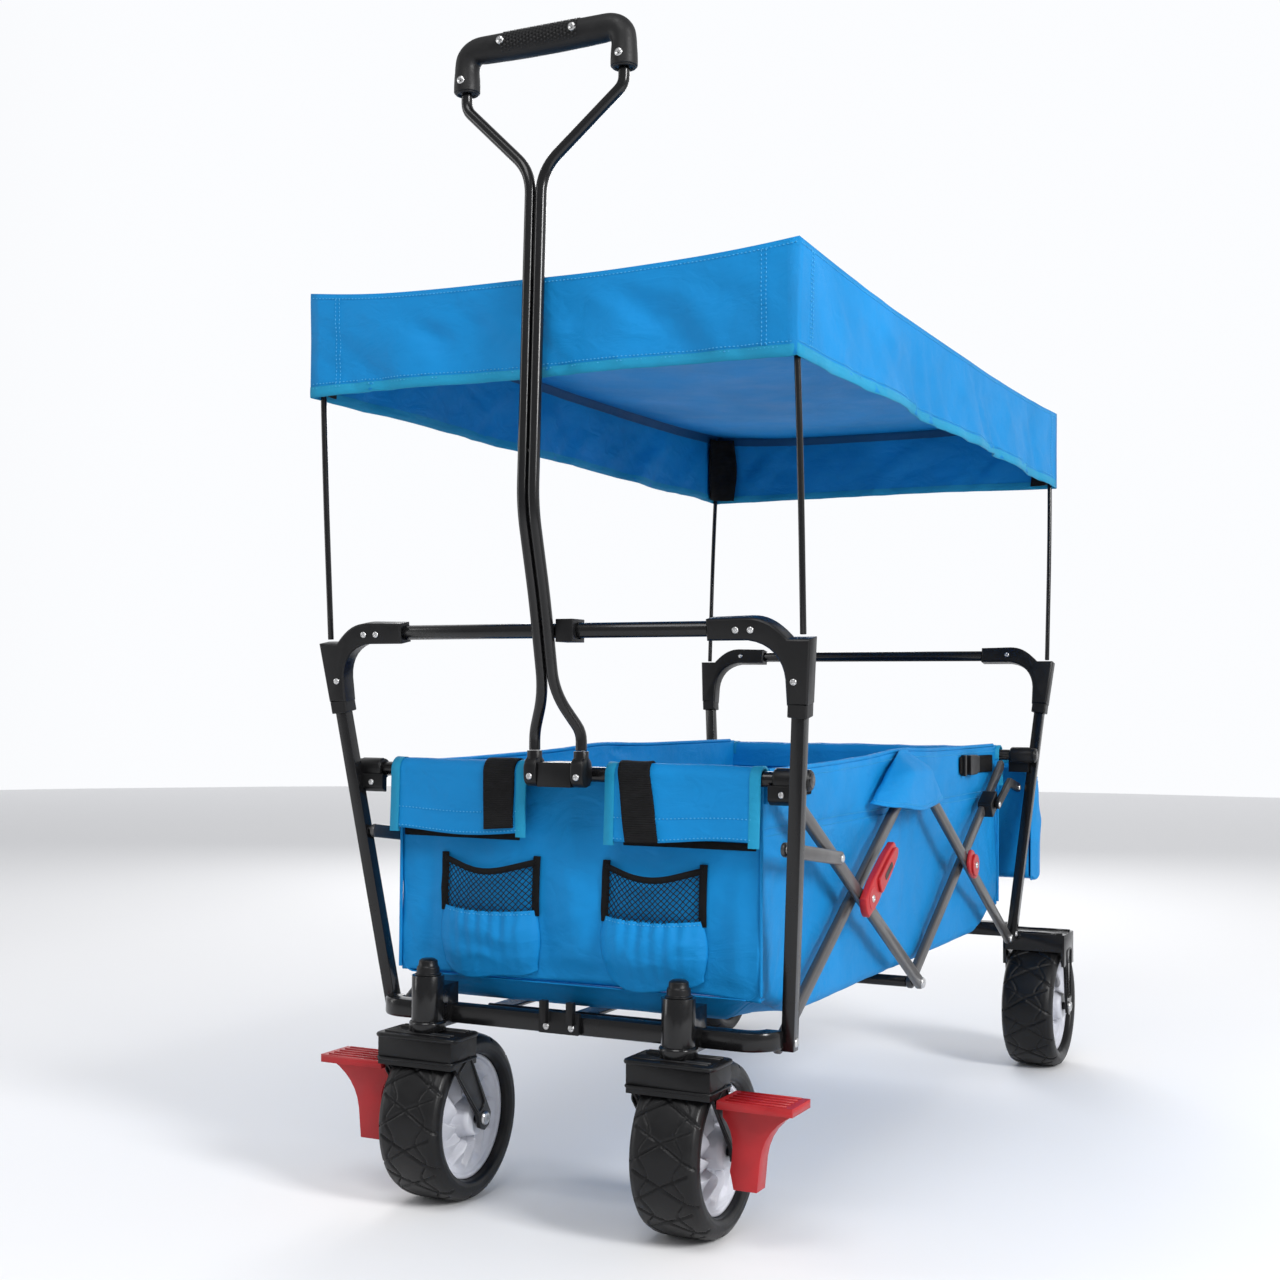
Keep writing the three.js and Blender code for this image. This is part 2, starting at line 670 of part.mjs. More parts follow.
// ---------------------------------------------------------------- assembly
addUpright(-1, "front");
addUpright(1, "rear");
add("base_front", frontBaseGeometry(), frameBlack);
add("base_rear", rearBaseGeometry(), frameBlack);
add("centre_tube", centreTubeGeometry(), frameBlack);
add("floor_bars_front", floorBarsGeometry(-1), frameBlack);
add("floor_bars_rear", floorBarsGeometry(1), frameBlack);
addScissors();
addPair("front_link", frontLinkGeometry(), scissorGrey);
addPair("rear_link", rearLinkGeometry(), plasticBlack);
addPair("lock_lever", latchGeometry(), plasticRed);
addPair("caster_fork", casterForkGeometry(), plasticBlack);
addPair("brake_pedal", brakeGeometry(), plasticRed);
addWheel("front_right", CASTER.x, CASTER.y + CASTER.trail);
addWheel("front_left", -CASTER.x, CASTER.y + CASTER.trail);
addWheel("rear_right", REAR_WHEEL.x, REAR_WHEEL.y);
addWheel("rear_left", -REAR_WHEEL.x, REAR_WHEEL.y);
addPair("handle_tube", handleTubeGeometry(), frameBlack);
add("handle_yoke", handleYokeGeometry(), plasticBlack);
add("handle_grip", gripGeometry(), gripBlack);
add("handle_mount", handleMountGeometry(), plasticBlack);
add("handle_clip", handleClipGeometry(), plasticBlack);
add("storage_clip", storageClipGeometry(), plasticBlack);
add("tub_front", frontPanelGeometry(), fabricBlue);
add("tub_rear", rearPanelGeometry(), fabricBlue);
add("tub_sides", tubGeometry(), fabricBlue);
add("rear_bag", bagGeometry(), fabricBlue);
add("canopy", canopyGeometry(), fabricBlue);

// The origin is on the ground under the middle of the whole cart.
cart.position.y = -MIDDLE_Y;

export default cart;
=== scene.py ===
import json
import math

import bpy
from mathutils import Matrix, Vector, noise


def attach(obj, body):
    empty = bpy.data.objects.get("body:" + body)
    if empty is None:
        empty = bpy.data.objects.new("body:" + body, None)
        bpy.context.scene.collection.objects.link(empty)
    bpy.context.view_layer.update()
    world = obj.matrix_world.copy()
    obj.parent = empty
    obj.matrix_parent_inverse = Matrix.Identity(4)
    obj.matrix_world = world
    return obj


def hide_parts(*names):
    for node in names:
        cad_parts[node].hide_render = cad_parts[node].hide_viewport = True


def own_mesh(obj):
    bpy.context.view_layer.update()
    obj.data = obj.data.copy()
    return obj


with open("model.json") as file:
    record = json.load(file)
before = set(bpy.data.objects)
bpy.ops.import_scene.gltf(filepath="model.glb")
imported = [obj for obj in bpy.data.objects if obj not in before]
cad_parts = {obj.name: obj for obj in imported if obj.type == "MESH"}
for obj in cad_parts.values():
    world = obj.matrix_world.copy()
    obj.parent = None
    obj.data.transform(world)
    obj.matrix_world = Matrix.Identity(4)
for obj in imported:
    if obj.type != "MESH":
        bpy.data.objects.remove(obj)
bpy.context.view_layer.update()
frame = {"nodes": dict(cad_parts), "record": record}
NODES = frame["nodes"]
COLOUR = {m["slot"]: m["base_color"] for m in frame["record"]["materials"]}

MM = 0.001
MIDDLE_Y = 10.8  # mm from the scissors' centre to the middle of the cart
SIDES = {"right": 1, "left": -1}
ENDS = {"front": -1, "rear": 1}


def at(x, y, z):
    """A point given in millimetres from the ground under the scissors' centre, in the row frame."""
    return Vector((x * MM, (y - MIDDLE_Y) * MM, z * MM))


def smooth(low, high, value):
    """0 below low, 1 above high, and an even curve between."""
    t = min(max((value - low) / (high - low), 0.0), 1.0)
    return t * t * (3 - 2 * t)


def mix(a, b, share):
    return a + (b - a) * share


# ---------------------------------------------------------------- camera, lights, floor
CAMERA_AT = Vector((0.8735, -2.1176, 0.5463))
CAMERA_YAW = math.radians(26.0)
CAMERA_PITCH = math.radians(2.0)
CAMERA_ROLL = math.radians(0.4)
CAMERA_LENS = 48.3
WORLD = 0.42  # brightness of the studio round the cart


def make_camera():
    forward = Vector((
        -math.sin(CAMERA_YAW) * math.cos(CAMERA_PITCH),
        math.cos(CAMERA_YAW) * math.cos(CAMERA_PITCH),
        math.sin(CAMERA_PITCH),
    ))
    level = Vector((math.cos(CAMERA_YAW), math.sin(CAMERA_YAW), 0))
    up = level.cross(forward)
    across = math.cos(CAMERA_ROLL) * level + math.sin(CAMERA_ROLL) * up
    upward = -math.sin(CAMERA_ROLL) * level + math.cos(CAMERA_ROLL) * up
    data = bpy.data.cameras.new("camera")
    data.lens = CAMERA_LENS
    data.sensor_width = 36
    camera = bpy.data.objects.new("camera", data)
    axes = Matrix((across, upward, -forward)).transposed()
    camera.matrix_world = Matrix.Translation(CAMERA_AT) @ axes.to_4x4()
    bpy.context.scene.collection.objects.link(camera)
    bpy.context.scene.camera = camera


def area_light(name, place, target, size, power, tone=(1, 1, 1)):
    data = bpy.data.lights.new(name, "AREA")
    data.shape = "RECTANGLE"
    data.size, data.size_y = size
    data.energy = power
    data.color = tone
    light = bpy.data.objects.new(name, data)
    light.location = place
    light.rotation_euler = (Vector(target) - Vector(place)).to_track_quat("-Z", "Y").to_euler()
    bpy.context.scene.collection.objects.link(light)


def make_stage():
    area_light("key", (3.2, -1.5, 2.1), (0, 0, 0.5), (0.9, 1.2), 105)
    area_light("overhead", (0.2, -2.4, 3.4), (0, 0, 0.6), (1.6, 1.6), 42)
    area_light("fill", (-2.8, -1.4, 1.2), (0, -0.2, 0.5), (0.6, 2.0), 14)
    area_light("rim_light", (-1.4, 3.0, 2.0), (0, 0, 0.6), (1.6, 1.2), 40)
    world = bpy.data.worlds.new("studio")
    world.use_nodes = True
    background = world.node_tree.nodes["Background"]
    background.inputs["Color"].default_value = (0.96, 0.97, 1.0, 1)
    background.inputs["Strength"].default_value = WORLD
    bpy.context.scene.world = world
    bpy.context.scene.view_settings.view_transform = "Standard"
    reach = 9
    mesh = bpy.data.meshes.new("floor")
    corners = [(-reach, -reach, 0), (reach, -reach, 0), (reach, reach, 0), (-reach, reach, 0)]
    mesh.from_pydata(corners, [], [(0, 1, 2, 3)])
    floor = bpy.data.objects.new("floor", mesh)
    paper = Look("paper", (0.86, 0.86, 0.87), 0.9)
    mesh.materials.append(paper.material)
    bpy.context.scene.collection.objects.link(floor)
    make_backdrop()


def make_backdrop():
    """A curved pale screen behind the cart, whose brightness fades into the world's at its two ends."""
    radius, verts = 8.6, []
    turns = [math.radians(-112 + 7 * n) for n in range(33)]
    for height in (-1, 9):
        verts += [(radius * math.sin(turn), radius * math.cos(turn), height) for turn in turns]
    mesh = bpy.data.meshes.new("backdrop")
    mesh.from_pydata(verts, [], grid_faces(32, 1))
    mesh.polygons.foreach_set("use_smooth", [True] * len(mesh.polygons))
    backdrop = bpy.data.objects.new("backdrop", mesh)
    glow = Look("glow", (0, 0, 0), 1.0, Emission_Color=(0.97, 0.98, 1, 1), Specular_IOR_Level=0)
    split, fade = glow.node("ShaderNodeSeparateXYZ"), glow.node("ShaderNodeMapRange", interpolation_type="SMOOTHSTEP")
    glow.link(glow.place("Object"), split.inputs[0])
    glow.link(split.outputs["Y"], fade.inputs["Value"])
    for socket, value in (("From Min", -2.6), ("From Max", 6.0), ("To Min", WORLD), ("To Max", 1.0)):
        fade.inputs[socket].default_value = value
    glow.link(fade.outputs["Result"], glow.shader.inputs["Emission Strength"])
    mesh.materials.append(glow.material)
    bpy.context.scene.collection.objects.link(backdrop)


# ---------------------------------------------------------------- materials
BLACK = (0.0055, 0.0055, 0.0060)
GREY = (0.055, 0.053, 0.053)
RED = (0.40, 0.016, 0.020)
BLUE = (0.0010, 0.225, 0.560)
# A darker copy of the blue: painted shade for the strip inside the canopy's top corner.
PAINTED_SHADE_BLUE = (0.0008, 0.060, 0.170)
TEAL = (0.010, 0.270, 0.480)


class Look:
    """A node material: a base colour with a little variation, roughness that varies, and bump."""

    def __init__(self, name, colour, roughness, **sockets):
        self.material = bpy.data.materials.new(name)
        self.material.use_nodes = True
        self.tree = self.material.node_tree
        self.shader = self.tree.nodes["Principled BSDF"]
        self.colour = tuple(colour[:3])
        self.shader.inputs["Base Color"].default_value = (*self.colour, 1)
        self.shader.inputs["Roughness"].default_value = roughness
        for socket, value in sockets.items():
            self.shader.inputs[socket.replace("_", " ")].default_value = value
        self.normal = None

    def node(self, kind, **settings):
        made = self.tree.nodes.new(kind)
        for key, value in settings.items():
            setattr(made, key, value)
        return made

    def link(self, source, target):
        self.tree.links.new(source, target)

    def place(self, kind):
        """Texture coordinates: Object is the row frame in metres, UV is metres along a cloth."""
        return self.node("ShaderNodeTexCoord").outputs[kind]

    def noise(self, scale, detail=3.0, distortion=0.0, kind="Object", stretch=(1, 1, 1)):
        scaled = self.node("ShaderNodeMapping")
        scaled.inputs["Scale"].default_value = stretch
        self.link(self.place(kind), scaled.inputs["Vector"])
        texture = self.node("ShaderNodeTexNoise")
        texture.inputs["Scale"].default_value = scale
        texture.inputs["Detail"].default_value = detail
        texture.inputs["Distortion"].default_value = distortion
        self.link(scaled.outputs["Vector"], texture.inputs["Vector"])
        return texture.outputs["Fac"]

    def weave(self, pitch, kind="UV", turned=False):
        """Crossing threads of the given pitch, from -1 to 1; turned lays them on the diagonal."""
        split = self.node("ShaderNodeSeparateXYZ")
        source = self.place(kind)
        if turned:
            mapping = self.node("ShaderNodeMapping")
            mapping.inputs["Rotation"].default_value = (0, 0, math.radians(45))
            self.link(source, mapping.inputs["Vector"])
            source = mapping.outputs["Vector"]
        self.link(source, split.inputs[0])
        waves = []
        for axis in ("X", "Y"):
            scaled = self.node("ShaderNodeMath", operation="MULTIPLY")
            scaled.inputs[1].default_value = 2 * math.pi / pitch
            self.link(split.outputs[axis], scaled.inputs[0])
            wave = self.node("ShaderNodeMath", operation="SINE")
            self.link(scaled.outputs[0], wave.inputs[0])
            waves.append(wave.outputs[0])
        product = self.node("ShaderNodeMath", operation="MULTIPLY")
        self.link(waves[0], product.inputs[0])
        self.link(waves[1], product.inputs[1])
        return product.outputs[0]

    def ribs(self, pitch, axis, kind="UV"):
        """Parallel ribs across one axis, from -1 to 1."""
        split = self.node("ShaderNodeSeparateXYZ")
        self.link(self.place(kind), split.inputs[0])
        scaled = self.node("ShaderNodeMath", operation="MULTIPLY")
        scaled.inputs[1].default_value = 2 * math.pi / pitch
        self.link(split.outputs[axis], scaled.inputs[0])
        wave = self.node("ShaderNodeMath", operation="SINE")
        self.link(scaled.outputs[0], wave.inputs[0])
        return wave.outputs[0]

    def tint(self, driver, low, high, dark, light):
        """Base colour from dark times the colour where the driver is low, to light times it where it is high."""
        ramp = self.node("ShaderNodeValToRGB")
        for stop, position, share in zip(ramp.color_ramp.elements, (low, high), (dark, light)):
            stop.position = position
            stop.color = (*[min(c * share, 1.0) for c in self.colour], 1)
        self.link(driver, ramp.inputs["Fac"])
        self.link(ramp.outputs["Color"], self.shader.inputs["Base Color"])
        return self

    def rough(self, driver, low, high):
        spread = self.node("ShaderNodeMapRange")
        spread.inputs["From Min"].default_value = 0.3
        spread.inputs["From Max"].default_value = 0.7
        spread.inputs["To Min"].default_value = low
        spread.inputs["To Max"].default_value = high
        self.link(driver, spread.inputs["Value"])
        self.link(spread.outputs["Result"], self.shader.inputs["Roughness"])
        return self

    def bump(self, height, depth, strength=1.0):
        made = self.node("ShaderNodeBump")
        made.inputs["Distance"].default_value = depth
        made.inputs["Strength"].default_value = strength
        self.link(height, made.inputs["Height"])
        if self.normal:
            self.link(self.normal, made.inputs["Normal"])
        self.normal = made.outputs["Normal"]
        self.link(self.normal, self.shader.inputs["Normal"])
        return self


def cloth_look(name, colour, share=1.0):
    """Coated polyester: a fine plain weave, soft creases and a slightly uneven dye."""
    look = Look(name, [c * share for c in colour[:3]], 0.58, Specular_IOR_Level=0.22)
    look.tint(look.noise(5.0, 4.0, 0.6), 0.3, 0.75, 0.88, 1.10)
    look.rough(look.noise(14.0), 0.54, 0.70)
    look.bump(look.noise(16.0, 3.0, 1.4, stretch=(1, 1, 1.6)), 0.004, 0.55)
    look.bump(look.noise(55.0, 2.0, 0.8), 0.0010, 0.5)
    look.bump(look.weave(0.0011), 0.00012, 0.5)
    return look


def moulded_look(name, colour, roughness, grain=900.0, depth=0.00012, shine=0.5):
    """Moulded plastic or rubber with a fine spark-eroded grain."""
    look = Look(name, colour, roughness, Specular_IOR_Level=shine)
    look.tint(look.noise(30.0), 0.3, 0.7, 0.9, 1.12)
    look.rough(look.noise(60.0, 4.0), roughness - 0.06, roughness + 0.08)
    look.bump(look.noise(grain, 2.0), depth, 0.6)
    return look


def painted_look(name, colour, roughness, coat, shine):
    """Powder coat: a faint orange peel and small changes in gloss."""
    look = Look(name, colour, roughness, Coat_Weight=coat, Coat_Roughness=0.12, Specular_IOR_Level=shine)
    look.tint(look.noise(18.0), 0.3, 0.7, 0.92, 1.08)
    look.rough(look.noise(40.0, 4.0), roughness - 0.05, roughness + 0.07)
    look.bump(look.noise(420.0, 2.0), 0.00006, 0.5)
    return look


def make_looks():
    looks = {
        "frame_black": painted_look("frame_black", BLACK, 0.22, 0.2, 0.3),
        "scissor_grey": painted_look("scissor_grey", GREY, 0.34, 0.2, 0.4),
        "plastic_black": moulded_look("plastic_black", BLACK, 0.36, 900.0, 0.00012, 0.28),
        "plastic_red": moulded_look("plastic_red", RED, 0.38, 900.0, 0.00012, 0.35),
        "tyre": moulded_look("tyre", BLACK, 0.40, 300.0, 0.0002, 0.3),
        "rim": moulded_look("rim", COLOUR["rim"], 0.34, 600.0, 0.00008),
        "fabric_blue": cloth_look("fabric_blue", BLUE),
        "fabric_binding": cloth_look("fabric_binding", TEAL),
        # Painted shade: a darker copy of the blue, for the strip inside the canopy's top corner.
        "fabric_painted_shade": cloth_look("fabric_painted_shade", PAINTED_SHADE_BLUE),
        "fabric_thread": Look("fabric_thread", (0.05, 0.36, 0.66), 0.7),
    }
    looks["fabric_thread"].bump(looks["fabric_thread"].noise(700.0), 0.0002)
    webbing = Look("webbing", BLACK, 0.8, Specular_IOR_Level=0.2)
    webbing.tint(webbing.noise(90.0), 0.3, 0.7, 0.8, 1.5)
    webbing.bump(webbing.ribs(0.0022, "Y"), 0.0004, 0.8)
    webbing.bump(webbing.weave(0.0016, turned=True), 0.0002, 0.6)
    looks["webbing"] = webbing
    net = Look("net", BLACK, 0.7, Specular_IOR_Level=0.2)
    net.tint(net.noise(300.0), 0.3, 0.7, 0.7, 1.6)
    net.bump(net.noise(900.0), 0.0002)
    looks["net"] = net
    grip = Look("grip", BLACK, 0.5, Specular_IOR_Level=0.35)
    grip.tint(grip.noise(60.0), 0.3, 0.7, 0.85, 1.2)
    grip.rough(grip.noise(120.0), 0.42, 0.6)
    grip.bump(grip.noise(700.0), 0.0002, 0.5)
    looks["grip"] = grip
    steel = Look("steel", COLOUR["steel"], 0.3, Metallic=1.0)
    steel.tint(steel.noise(200.0), 0.3, 0.7, 0.8, 1.1)
    steel.bump(steel.noise(900.0), 0.00005)
    looks["steel"] = steel
    return looks


# ---------------------------------------------------------------- mesh builders
def make_piece(name, verts, faces, look, body, slot, uvs=None, flat=False):
    """A named mesh that rides on a body."""
    mesh = bpy.data.meshes.new(name)
    mesh.from_pydata([tuple(v) for v in verts], [], faces)
    layer = mesh.uv_layers.new(name="UVMap")
    if uvs:
        for loop in mesh.loops:
            layer.data[loop.index].uv = uvs[loop.vertex_index]
    mesh.polygons.foreach_set("use_smooth", [not flat] * len(mesh.polygons))
    mesh.materials.append(LOOKS[look].material)
    mesh.update()
    piece = bpy.data.objects.new(name, mesh)
    bpy.context.scene.collection.objects.link(piece)
    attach(piece, body)
    return piece


def grid_faces(across, down, wrap=False):
    """Quads of a grid of (across + 1) by (down + 1) points, or of rings of across points where it wraps."""
    row = across if wrap else across + 1
    return [
        (j * row + i, j * row + (i + 1) % row, (j + 1) * row + (i + 1) % row, (j + 1) * row + i)
        for j in range(down)
        for i in range(across)
    ]


def make_cloth(name, point, steps, size, body, look="fabric_blue", slot="fabric_blue", thick=0.0012, flip=False):
    """A sheet where point(s, t) gives its place, for s and t from 0 to 1; size is the cut's width and length."""
    across, down = steps
    verts = [point(i / across, j / down) for j in range(down + 1) for i in range(across + 1)]
    uvs = [(i / across * size[0], j / down * size[1]) for j in range(down + 1) for i in range(across + 1)]
    faces = grid_faces(across, down)
    if flip:
        faces = [tuple(reversed(f)) for f in faces]
    piece = make_piece(name, verts, faces, look, body, slot, uvs)
    thicken(piece, thick)
    return piece


def thicken(piece, thick):
    layer = piece.modifiers.new("thickness", "SOLIDIFY")
    layer.thickness = thick
    layer.offset = 0


def bent(points, bend, step=0.006):
    """A line through the points, in straight runs with a rounded bend at each inner one."""
    line = [points[0]]
    start = points[0]
    for i in range(1, len(points) - 1):
        before, after = points[i - 1] - points[i], points[i + 1] - points[i]
        reach = min(bend, before.length / 2.05, after.length / 2.05)
        enter = points[i] + before.normalized() * reach
        leave = points[i] + after.normalized() * reach
        add_run(line, start, enter, step)
        turns = max(4, int(reach * 2 / step))
        for k in range(1, turns + 1):
            t = k / turns
            line.append((1 - t) ** 2 * enter + 2 * t * (1 - t) * points[i] + t * t * leave)
        start = leave
    add_run(line, start, points[-1], step)
    return line


def add_run(line, start, end, step):
    count = max(1, int((end - start).length / (step * 3)))
    line.extend(start + (end - start) * (k / count) for k in range(1, count + 1))


def sweep(line, section, first_side=Vector((1, 0, 0))):
    """Rings of section(share, angle index) offsets carried along a line, with closed ends."""
    verts, rings = [], len(line)
    side = first_side
    for k, centre in enumerate(line):
        ahead = line[min(k + 1, rings - 1)] - line[max(k - 1, 0)]
        ahead.normalize()
        side = (side - ahead * side.dot(ahead)).normalized()
        up = ahead.cross(side)
        for a, b in section(k / max(rings - 1, 1)):
            verts.append(centre + side * a + up * b)
    count = len(verts) // rings
    faces = grid_faces(count, rings - 1, wrap=True)
    faces.append(tuple(reversed(range(count))))
    faces.append(tuple(range((rings - 1) * count, rings * count)))
    return verts, faces


def round_section(radius, sides=20):
    ring = [(math.cos(2 * math.pi * i / sides), math.sin(2 * math.pi * i / sides)) for i in range(sides)]
    return lambda share: [(radius * a, radius * b) for a, b in ring]


def make_tube(name, line, radius, body, look, slot, sides=20):
    verts, faces = sweep(line, round_section(radius, sides))
    piece = make_piece(name, verts, faces, look, body, slot)
    soften(piece, radius * 0.12)
    return piece


def soften(piece, width, limit=50, segments=2):
    """Small rounded edges that catch the light."""
    bevel = piece.modifiers.new("edges", "BEVEL")
    bevel.width = width
    bevel.segments = segments
    bevel.limit_method = "ANGLE"
    bevel.angle_limit = math.radians(limit)
    bevel.harden_normals = True


def crumple(u, v, seed, size=0.12):
    """Soft creases of cloth from about -1 to 1, for a place on the cloth in metres."""
    p = Vector((u / size, v / size, seed))
    q = p + 0.8 * noise.noise_vector(p * 0.7)
    ridge = 1 - 2 * abs(noise.noise(q))
    return 0.6 * (ridge - 0.5) + 0.7 * noise.noise(p * 0.5 + Vector((7, 3, 1)))


def make_stitches(name, line, normal, body, look="fabric_thread", slot="fabric_blue", pitch=0.0044, width=0.0007):
    """Short threads along a line, each a little lens that stands just off the cloth."""
    verts, faces = [], []
    travelled, target = 0.0, pitch / 2
    for a, b in zip(line, line[1:]):
        length = (b - a).length
        while travelled + length >= target:
            centre = a + (b - a) * ((target - travelled) / length)
            ahead = (b - a).normalized()
            out = (normal - ahead * normal.dot(ahead)).normalized()
            side = ahead.cross(out)
            base = len(verts)
            centre = centre + out * 0.0009
            verts += [centre - ahead * pitch * 0.33, centre + ahead * pitch * 0.33, centre - side * width,
                      centre + side * width, centre + out * width * 1.2, centre - out * width]
            faces += [(base + i, base + j, base + k) for i, j, k in
                      ((0, 2, 4), (2, 1, 4), (1, 3, 4), (3, 0, 4), (2, 0, 5), (1, 2, 5), (3, 1, 5), (0, 3, 5))]
            target += pitch
        travelled += length
    return make_piece(name, verts, faces, look, body, slot)


# ---------------------------------------------------------------- CAD nodes kept as they are
def dress_nodes():
    """Gives each kept CAD node its slot's material and rounded edges."""
    slot_of = {row["node"]: row["material_slot"] for row in frame["record"]["subparts"]}
    for name, node in NODES.items():
        node.data.materials.clear()
        node.data.materials.append(LOOKS[slot_of[name]].material)
        node.data.polygons.foreach_set("use_smooth", [True] * len(node.data.polygons))
        weld = node.modifiers.new("weld", "WELD")
        weld.merge_threshold = 0.00002
        soften(node, 0.0008, 40)


LOOKS = make_looks()
make_camera()
make_stage()
dress_nodes()

# ---------------------------------------------------------------- scissor sizes and cloth meshes
SCISSOR_RUN = 455
SCISSOR_LOW = 194
SCISSOR_HIGH = 451
REST_ANGLE = math.atan2(SCISSOR_HIGH - SCISSOR_LOW, SCISSOR_RUN)


def fold_with_ends(piece):
    """Gives the piece its own copy of its mesh."""
    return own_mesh(piece)


# ---------------------------------------------------------------- canopy
CANOPY_X, CANOPY_Y = 289, 564
CANOPY_TOP, CANOPY_HEM = 995, 880
CORNER_ROUND = 9


def canopy_height(a, b):
    """Height of the canopy's top in mm; a and b run from -1 to 1 between the corners."""
    across, along = 1 - abs(a) ** 3.0, 1 - abs(b) ** 2.6
    pucker = 1.2 * crumple(a * 0.29, b * 0.56, 3, 0.16) * (1 - (a * b) ** 4)
    return CANOPY_TOP - 12 * across - 10 * along - 12 * across * along + pucker


def canopy_side(p, drop):
    """A point of the valance: p goes round from the front-left corner, and drop is mm below the top."""
    corners = [(-1, -1), (1, -1), (1, 1), (-1, 1), (-1, -1)]
    side = min(int(p * 4), 3)
    share = p * 4 - side
    (a0, b0), (a1, b1) = corners[side], corners[side + 1]
    a, b = mix(a0, a1, share), mix(b0, b1, share)
    out = (0, -1), (1, 0), (0, 1), (-1, 0)
    nx, ny = out[side]
    length = 2 * (CANOPY_X if side % 2 == 0 else CANOPY_Y)
    run = share * length * MM
    free = smooth(0, 55, drop) * (1 - abs(2 * share - 1) ** 6)
    fold = 8.0 * crumple(run + side * 3 - drop * MM * 0.8, drop * MM * 0.5, 11 + side, 0.065)
    fold += 3.0 * crumple(run + side * 3, drop * MM, 17 + side, 0.03) + 2.0 * math.sin(run * 23 + side)
    bulge = free * fold - 2.0 * smooth(0, 60, drop)
    x, y = a * CANOPY_X + nx * bulge, b * CANOPY_Y + ny * bulge
    scallop = 3.0 * (1 - abs(2 * share - 1) ** 2) + 1.2 * math.sin(run * 17 + 2 * side)
    top = canopy_height(a, b)
    height = mix(top, CANOPY_HEM + scallop * 0.6, drop / (CANOPY_TOP - CANOPY_HEM))
    return at(x, y, height)


def make_canopy():
    across, along, down = 48, 88, 18
    ring_of = {}
    verts = []
    for j in range(along + 1):
        for i in range(across + 1):
            a, b = 2 * i / across - 1, 2 * j / along - 1
            ring_of[(i, j)] = len(verts)
            verts.append(at(a * CANOPY_X, b * CANOPY_Y, canopy_height(a, b)))
    faces = grid_faces(across, along)
    loop = [(i, 0) for i in range(across)] + [(across, j) for j in range(along)]
    loop += [(across - i, along) for i in range(across)] + [(0, along - j) for j in range(along)]
    shares = [i / across / 4 for i in range(across)] + [0.25 + j / along / 4 for j in range(along)]
    shares += [0.5 + i / across / 4 for i in range(across)] + [0.75 + j / along / 4 for j in range(along)]
    above = [ring_of[key] for key in loop]
    uvs = [(v.x, v.y) for v in verts]
    height = CANOPY_TOP - CANOPY_HEM
    for k in range(1, down + 1):
        drop = height * k / down
        ring = []
        for share in shares:
            ring.append(len(verts))
            place = canopy_side(share, drop)
            verts.append(place)
            along_edge = place.x if int(share * 4) % 2 == 0 else place.y
            uvs.append((along_edge, drop * MM))
        count = len(ring)
        faces += [(above[n], ring[n], ring[(n + 1) % count], above[(n + 1) % count]) for n in range(count)]
        above = ring
    canopy = make_piece("canopy_cover", verts, faces, "fabric_blue", "centre", "fabric_blue", uvs)
    thicken(canopy, 0.0011)
    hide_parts("canopy")
    # The second piece is painted shade: a darker strip inside the canopy's top corner.
    pieces = [make_canopy_hem(), make_canopy_painted_shade()]
    pieces += make_canopy_seams()
    for sx in (-1, 1):
        for sy in (-1, 1):
            make_canopy_sleeve(sx, sy)
    for piece in [canopy] + pieces:
        fold_with_ends(piece)


def make_canopy_hem():
    """Edge tape folded over the lower edge of the valance."""
    count, height = 220, CANOPY_TOP - CANOPY_HEM
    verts, uvs = [], []
    offsets = [(-11, 1.3), (-5, 1.5), (0.4, 1.2), (1.2, 0), (0.4, -1.2), (-5, -1.5), (-11, -1.3)]
    for k, (rise, out) in enumerate(offsets):
        for n in range(count):
            p = n / count
            place = canopy_side(p, height + rise)
            nx, ny = ((0, -1), (1, 0), (0, 1), (-1, 0))[min(int(p * 4), 3)]
            verts.append(place + Vector((nx * out, ny * out, 0)) * MM)
            uvs.append((p * 3.4, k * 0.004))
    faces = grid_faces(count, len(offsets) - 1, wrap=True)
    faces = [tuple(reversed(f)) for f in faces]
    return make_piece("canopy_hem", verts, faces, "fabric_binding", "centre", "fabric_blue", uvs)


def make_canopy_painted_shade():
    """Painted shade inside the canopy: a strip of darker blue along the seam between the top and the valance."""
    count = 220
    verts, uvs = [], []
    for k, (drop, inward) in enumerate(((2.5, 14), (3.5, 2.4), (14, 2.4), (14.6, 1.4))):
        for n in range(count):
            p = n / count
            place = canopy_side(p, drop)
            nx, ny = ((0, -1), (1, 0), (0, 1), (-1, 0))[min(int(p * 4), 3)]
            verts.append(place - Vector((nx * inward, ny * inward, 0)) * MM)
            uvs.append((p * 3.4, k * 0.005))
    return make_piece("canopy_painted_shade", verts, grid_faces(count, 3, wrap=True), "fabric_painted_shade", "centre",
                      "fabric_blue", uvs)


def make_canopy_seams():
    """Double rows of stitching beside each corner and above the hem, and one row round the top's edge."""
    height = CANOPY_TOP - CANOPY_HEM
    made = []
    for side in range(4):
        length = 2 * (CANOPY_X if side % 2 == 0 else CANOPY_Y)
        nx, ny = ((0, -1), (1, 0), (0, 1), (-1, 0))[side]
        out = Vector((nx, ny, 0))
        for corner, inset in enumerate((34, 39, length - 34, length - 39)):
            p = (side + inset / length) / 4
            line = [canopy_side(p, drop) for drop in range(4, int(height) - 8, 4)]
            made.append(make_stitches(f"canopy_seam_{side}_{corner}", line, out, "centre"))
        p0 = side / 4
        for row, rise in enumerate((9, 14)):
            line = [canopy_side(p0 + 0.25 * (0.5 + k) / 160, height - rise) for k in range(160)]
            made.append(make_stitches(f"canopy_hem_seam_{side}_{row}", line, out, "centre"))
        line = [canopy_side(p0 + 0.25 * (0.5 + k) / 160, 5) for k in range(160)]
        made.append(make_stitches(f"canopy_top_seam_{side}", line, out, "centre"))
    return made


